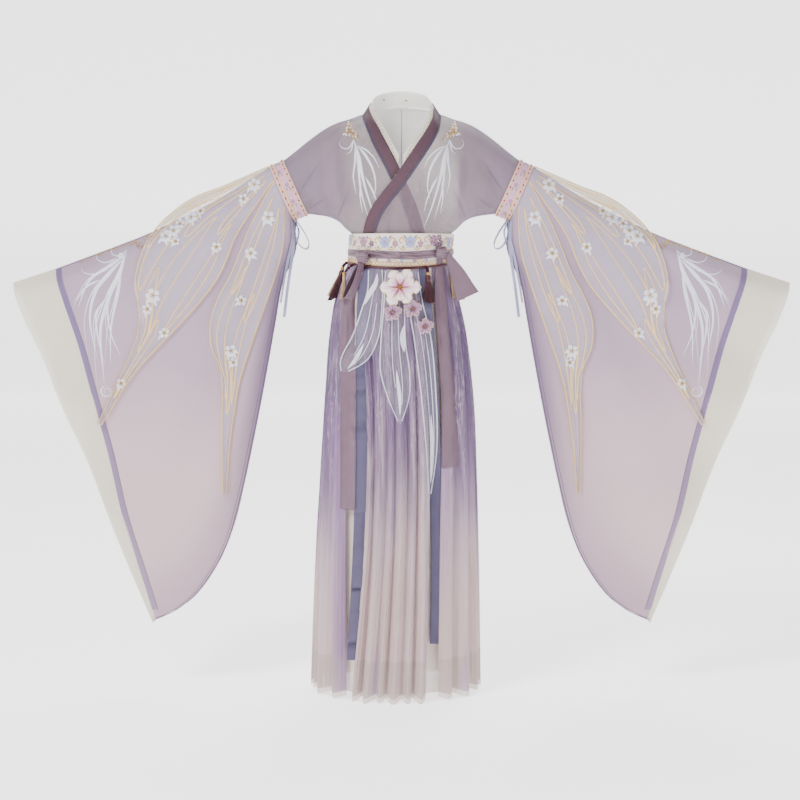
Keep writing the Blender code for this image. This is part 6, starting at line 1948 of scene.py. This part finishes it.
def build_belt_trims():
    """The waistband's flowers, scrolls, beads, lattice and the cord under it."""
    pink = []
    blue = []
    violet = star(0.08, -0.013, 0.011, 5, 0.2, 0.8) + star(0.093, -0.024, 0.009, 5, 0.9, 0.8)
    violet += star(0.099, -0.009, 0.008, 5, 0.5, 0.8)
    leaves = []
    scrolls = []
    beads = []
    length = 2 * math.pi * BELT_HALF_WIDTH
    pitch = length / BELT_TURNS
    for order in range(BELT_TURNS):
        x = pitch * (order + 0.35)
        sway = 0.0035 * math.sin(order * 2.6)
        level = FLOWER_LEVEL + sway
        lesser = (x + pitch * 0.42, level * 1.25 - sway)
        (pink if order % 2 else blue).extend(star(x, level, 0.0125, 6, order * 0.8, 0.8))
        (violet if order % 2 else pink).extend(star(*lesser, 0.0078, 5, order, 0.8))
        beads += [bead(x, level, 0.0018), bead(*lesser, 0.0012)]
        for hand in (-1, 1):
            curl = beside(x, level, hand, (0.01, -0.002), (0.0185, 0.0085), (0.0255, 0.003),
                          (0.0215, -0.003), (0.0185, 0.0005))
            bow = beside(x, level, hand, (0.006, -0.01), (0.017, -0.0155), (0.026, -0.0095))
            scrolls += [blade(curl, 0.0024, "cord", 0.0008, 0.003), blade(bow, 0.0022, "cord", 0.0008, 0.003)]
            leaves += [blade(beside(x, level, hand, (0.009, 0.006), (0.016, 0.013)), 0.0044, "leaf"),
                       blade(beside(x, level, hand, (0.012, -0.009), (0.02, -0.011)), 0.0038, "leaf")]
        low = LOW_LEVEL + 0.0008 * math.sin(order * 3.0)
        (blue if order % 3 else pink).extend(star(x + pitch * 0.2, low, 0.0052, 6, order, 0.85))
        (pink if order % 3 else blue).extend(star(x + pitch * 0.7, low, 0.004, 5, order, 0.85))
        scrolls.append(blade([(x + pitch * share, low + 0.0022 * math.sin(share * 19)) for share in
                              (0.28, 0.36, 0.44, 0.52, 0.6, 0.66)], 0.0012, "cord", 0.0006, 0.003))
    lattice = []
    step = length / LATTICE_CELLS
    for order in range(LATTICE_CELLS):
        x = step * order
        for start, end in ((x, x + step), (x + step, x)):
            lattice.append(blade([(start, LATTICE_TOP), (end, LATTICE_FOOT)], 0.0015, "cord", 0.001, 0.004))
    for level in (LATTICE_TOP, LATTICE_FOOT):
        line = [(length * share, level) for share in np.linspace(0, 1, 9)]
        lattice.append(blade(line, 0.0012, "cord", 0.0012, 0.004))
    for name, shapes, thread in (
            ("pink_flowers", pink, "rose_thread"), ("blue_flowers", blue, "blue_thread"),
            ("violet_flowers", violet, "violet_thread"), ("leaves", leaves, "leaf_thread"),
            ("scrolls", scrolls, "gold_thread"), ("beads", beads, "gold"),
            ("lattice", lattice, "gold_thread")):
        lay("belt_" + name, shapes, on_belt, thread, "belt_brocade")
    ring = belt_ring(np.linspace(0, 2 * math.pi, 181), 1.03, 0.0026)
    rope("belt_cord", ring, 0.0029, "burgundy", (0, 0, 1))


# Cords round each armlet: how far along the arm each lies, and its width
ARMLET_CORDS = ((0.0004, 0.004), (0.007, 0.0026), (0.025, 0.0024), (0.0275, 0.0024), (0.0334, 0.004))
ARMLET_BEADS = 26
ARMLET_FLOWERS = 11


def build_armlet_trims():
    """Corded edges with red beads, and small flowers round each armlet."""
    length = 2 * math.pi * ARMLET_RADIUS
    for word, side in SIDES:
        cords = []
        for along, width in ARMLET_CORDS:
            line = [(length * share, along) for share in np.linspace(0, 1, 13)]
            cords.append(blade(line, width, "cord", 0.0014, 0.004))
        red = []
        pink = []
        leaf = []
        for order in range(ARMLET_BEADS):
            x = length * (order + 0.5) / ARMLET_BEADS
            red += [bead(x, along, 0.0021) for along in (0.0036, 0.0302)]
        for order in range(ARMLET_FLOWERS):
            x = length * (order + 0.5) / ARMLET_FLOWERS
            along = 0.0168 + 0.0026 * math.sin(order * 2.2)
            pink += star(x, along, 0.0052, 5, order, 0.8)
            leaf += [blade(beside(x, along, 1, (0.004, 0.003), (0.011, 0.006)), 0.003, "leaf"),
                     blade(beside(x, along, 1, (0.005, -0.003), (0.012, -0.005)), 0.003, "leaf")]
            curl = beside(x, along, 1, (0.006, 0.0), (0.012, 0.002), (0.017, -0.001))
            cords.append(blade(curl, 0.001, "cord", 0.0006, 0.003))
        for name, shapes, thread in (("cords", cords, "gold_cord"), ("beads", red, "red_bead"),
                                     ("flowers", pink, "rose_thread"), ("leaves", leaf, "leaf_thread")):
            lay("%s_armlet_%s" % (word, name), shapes, on_armlet(side), thread, "pink_brocade")


def build_petal_trims(shown):
    """White cord along the edges of the organza petals, with veins inside."""
    onto = on_cloth(tree_of(*shown), FRONT, 1, 0.0004)
    cords = []
    for rows in APRON.values():
        data = curve(rows, np.linspace(0.02, 0.985, 26))
        z, left, right = data.T
        for edge in (left + 0.0012, right - 0.0012):
            cords.append(blade(np.column_stack([edge, z]), 0.003, "cord", 0.0012))
        for share, start, end in ((0.35, 4, 20), (0.62, 7, 24)):
            bow = share + 0.1 * np.sin(np.linspace(0, 3, 26))
            vein = np.column_stack([left + (right - left) * bow, z])[start:end:3]
            cords.append(blade(vein, 0.0017, "cord", 0.0007))
        cords.append(blade(np.column_stack([left * 0.45 + right * 0.55, z])[16:26:2], 0.0085, "leaf", 0.0009))
    cords += [blade(line, width, "leaf", 0.0009) for line, width in (
        (((-0.056, -0.372), (-0.06, -0.396), (-0.074, -0.42), (-0.086, -0.446)), 0.012), (((0.006, -0.492),
        (0.002, -0.52), (0.006, -0.556)), 0.012))]
    lay("petal_cords", cords, onto, "white_thread", "apron_organza")


# Stage

# Camera, floor and the wall behind it, in metres, and lights with their places, power and size
CAMERA_SPOT = (-0.0036, -4.2, -0.3456)
CAMERA_AIM = (-0.0036, 0.0, -0.677)
VIEW_ANGLE = 25.673
FLOOR_REACH = 14.0
FLOOR_DROP = 0.004
WALL_START = 9.0
WALL_CURVE = 1.5
WALL_TOP = 18.0
FLOOR_GLOW = 1.7
STUDIO_LIGHT = 0.3
LIGHTS = {"key": ((-2.4, -2.8, 2.8), 260.0, 1.4), "fill": ((3.2, -2.6, 0.6), 50.0, 2.4),
          "rim": ((0.8, 2.4, 2.6), 70.0, 1.6)}
LIGHT_AIM = Vector((0, 0, -0.6))


def staged(name, data, spot=(0, 0, 0), aim=None):
    """An object of the stage, turned to what it aims at."""
    thing = bpy.data.objects.new(name, data)
    bpy.context.scene.collection.objects.link(thing)
    thing.location = spot
    if aim is not None:
        thing.rotation_euler = (Vector(aim) - Vector(spot)).to_track_quat("-Z", "Y").to_euler()
    return thing


def build_stage():
    """Camera, floor with a curved wall behind, and soft lights."""
    camera = staged("camera", bpy.data.cameras.new("camera"), CAMERA_SPOT, CAMERA_AIM)
    camera.data.angle = math.radians(VIEW_ANGLE)
    bpy.context.scene.camera = camera
    low = CAD_BOX[0].z - FLOOR_DROP
    ground = Paint("pale_floor", roughness=0.9, emission_strength=FLOOR_GLOW)
    ground.shader.inputs["Base Color"].default_value = linear(250, 250, 250)
    ground.shader.inputs["Emission Color"].default_value = (1.0, 1.0, 1.0, 1.0)
    rows = [(-FLOOR_REACH, low)]
    rows += [(WALL_START + WALL_CURVE * math.sin(angle), low + WALL_CURVE * (1 - math.cos(angle)))
             for angle in np.linspace(0, math.pi / 2, 9)]
    rows.append((WALL_START + WALL_CURVE, WALL_TOP))
    mesh = bpy.data.meshes.new("floor")
    mesh.from_pydata([(x, y, z) for y, z in rows for x in (-FLOOR_REACH, FLOOR_REACH)], [],
                     [(first, first + 1, first + 3, first + 2) for first in range(0, 2 * len(rows) - 2, 2)])
    mesh.materials.append(ground.finish)
    mesh.shade_smooth()
    staged("floor", mesh)
    world = bpy.data.worlds.new("studio")
    world.use_nodes = True
    world.node_tree.nodes["Background"].inputs["Color"].default_value = (1, 1, 1, 1)
    world.node_tree.nodes["Background"].inputs["Strength"].default_value = STUDIO_LIGHT
    bpy.context.scene.world = world
    for name, (spot, power, size) in LIGHTS.items():
        light = staged(name, bpy.data.lights.new(name, "AREA"), spot, LIGHT_AIM)
        light.data.energy = power
        light.data.size = size


build_stage()
build_jacket()
build_sleeves()
build_armlets()
build_wings()
build_ties()
build_waist()
build_petal_trims(build_ribbons(build_skirt()))
build_flowers()
for tassel_name, tassel_tone in TASSELS:
    tassel(tassel_name, tassel_tone)
build_wing_trims()
build_sleeve_trims()
build_bodice_trims()
build_neck_trims()
build_belt_trims()
build_armlet_trims()
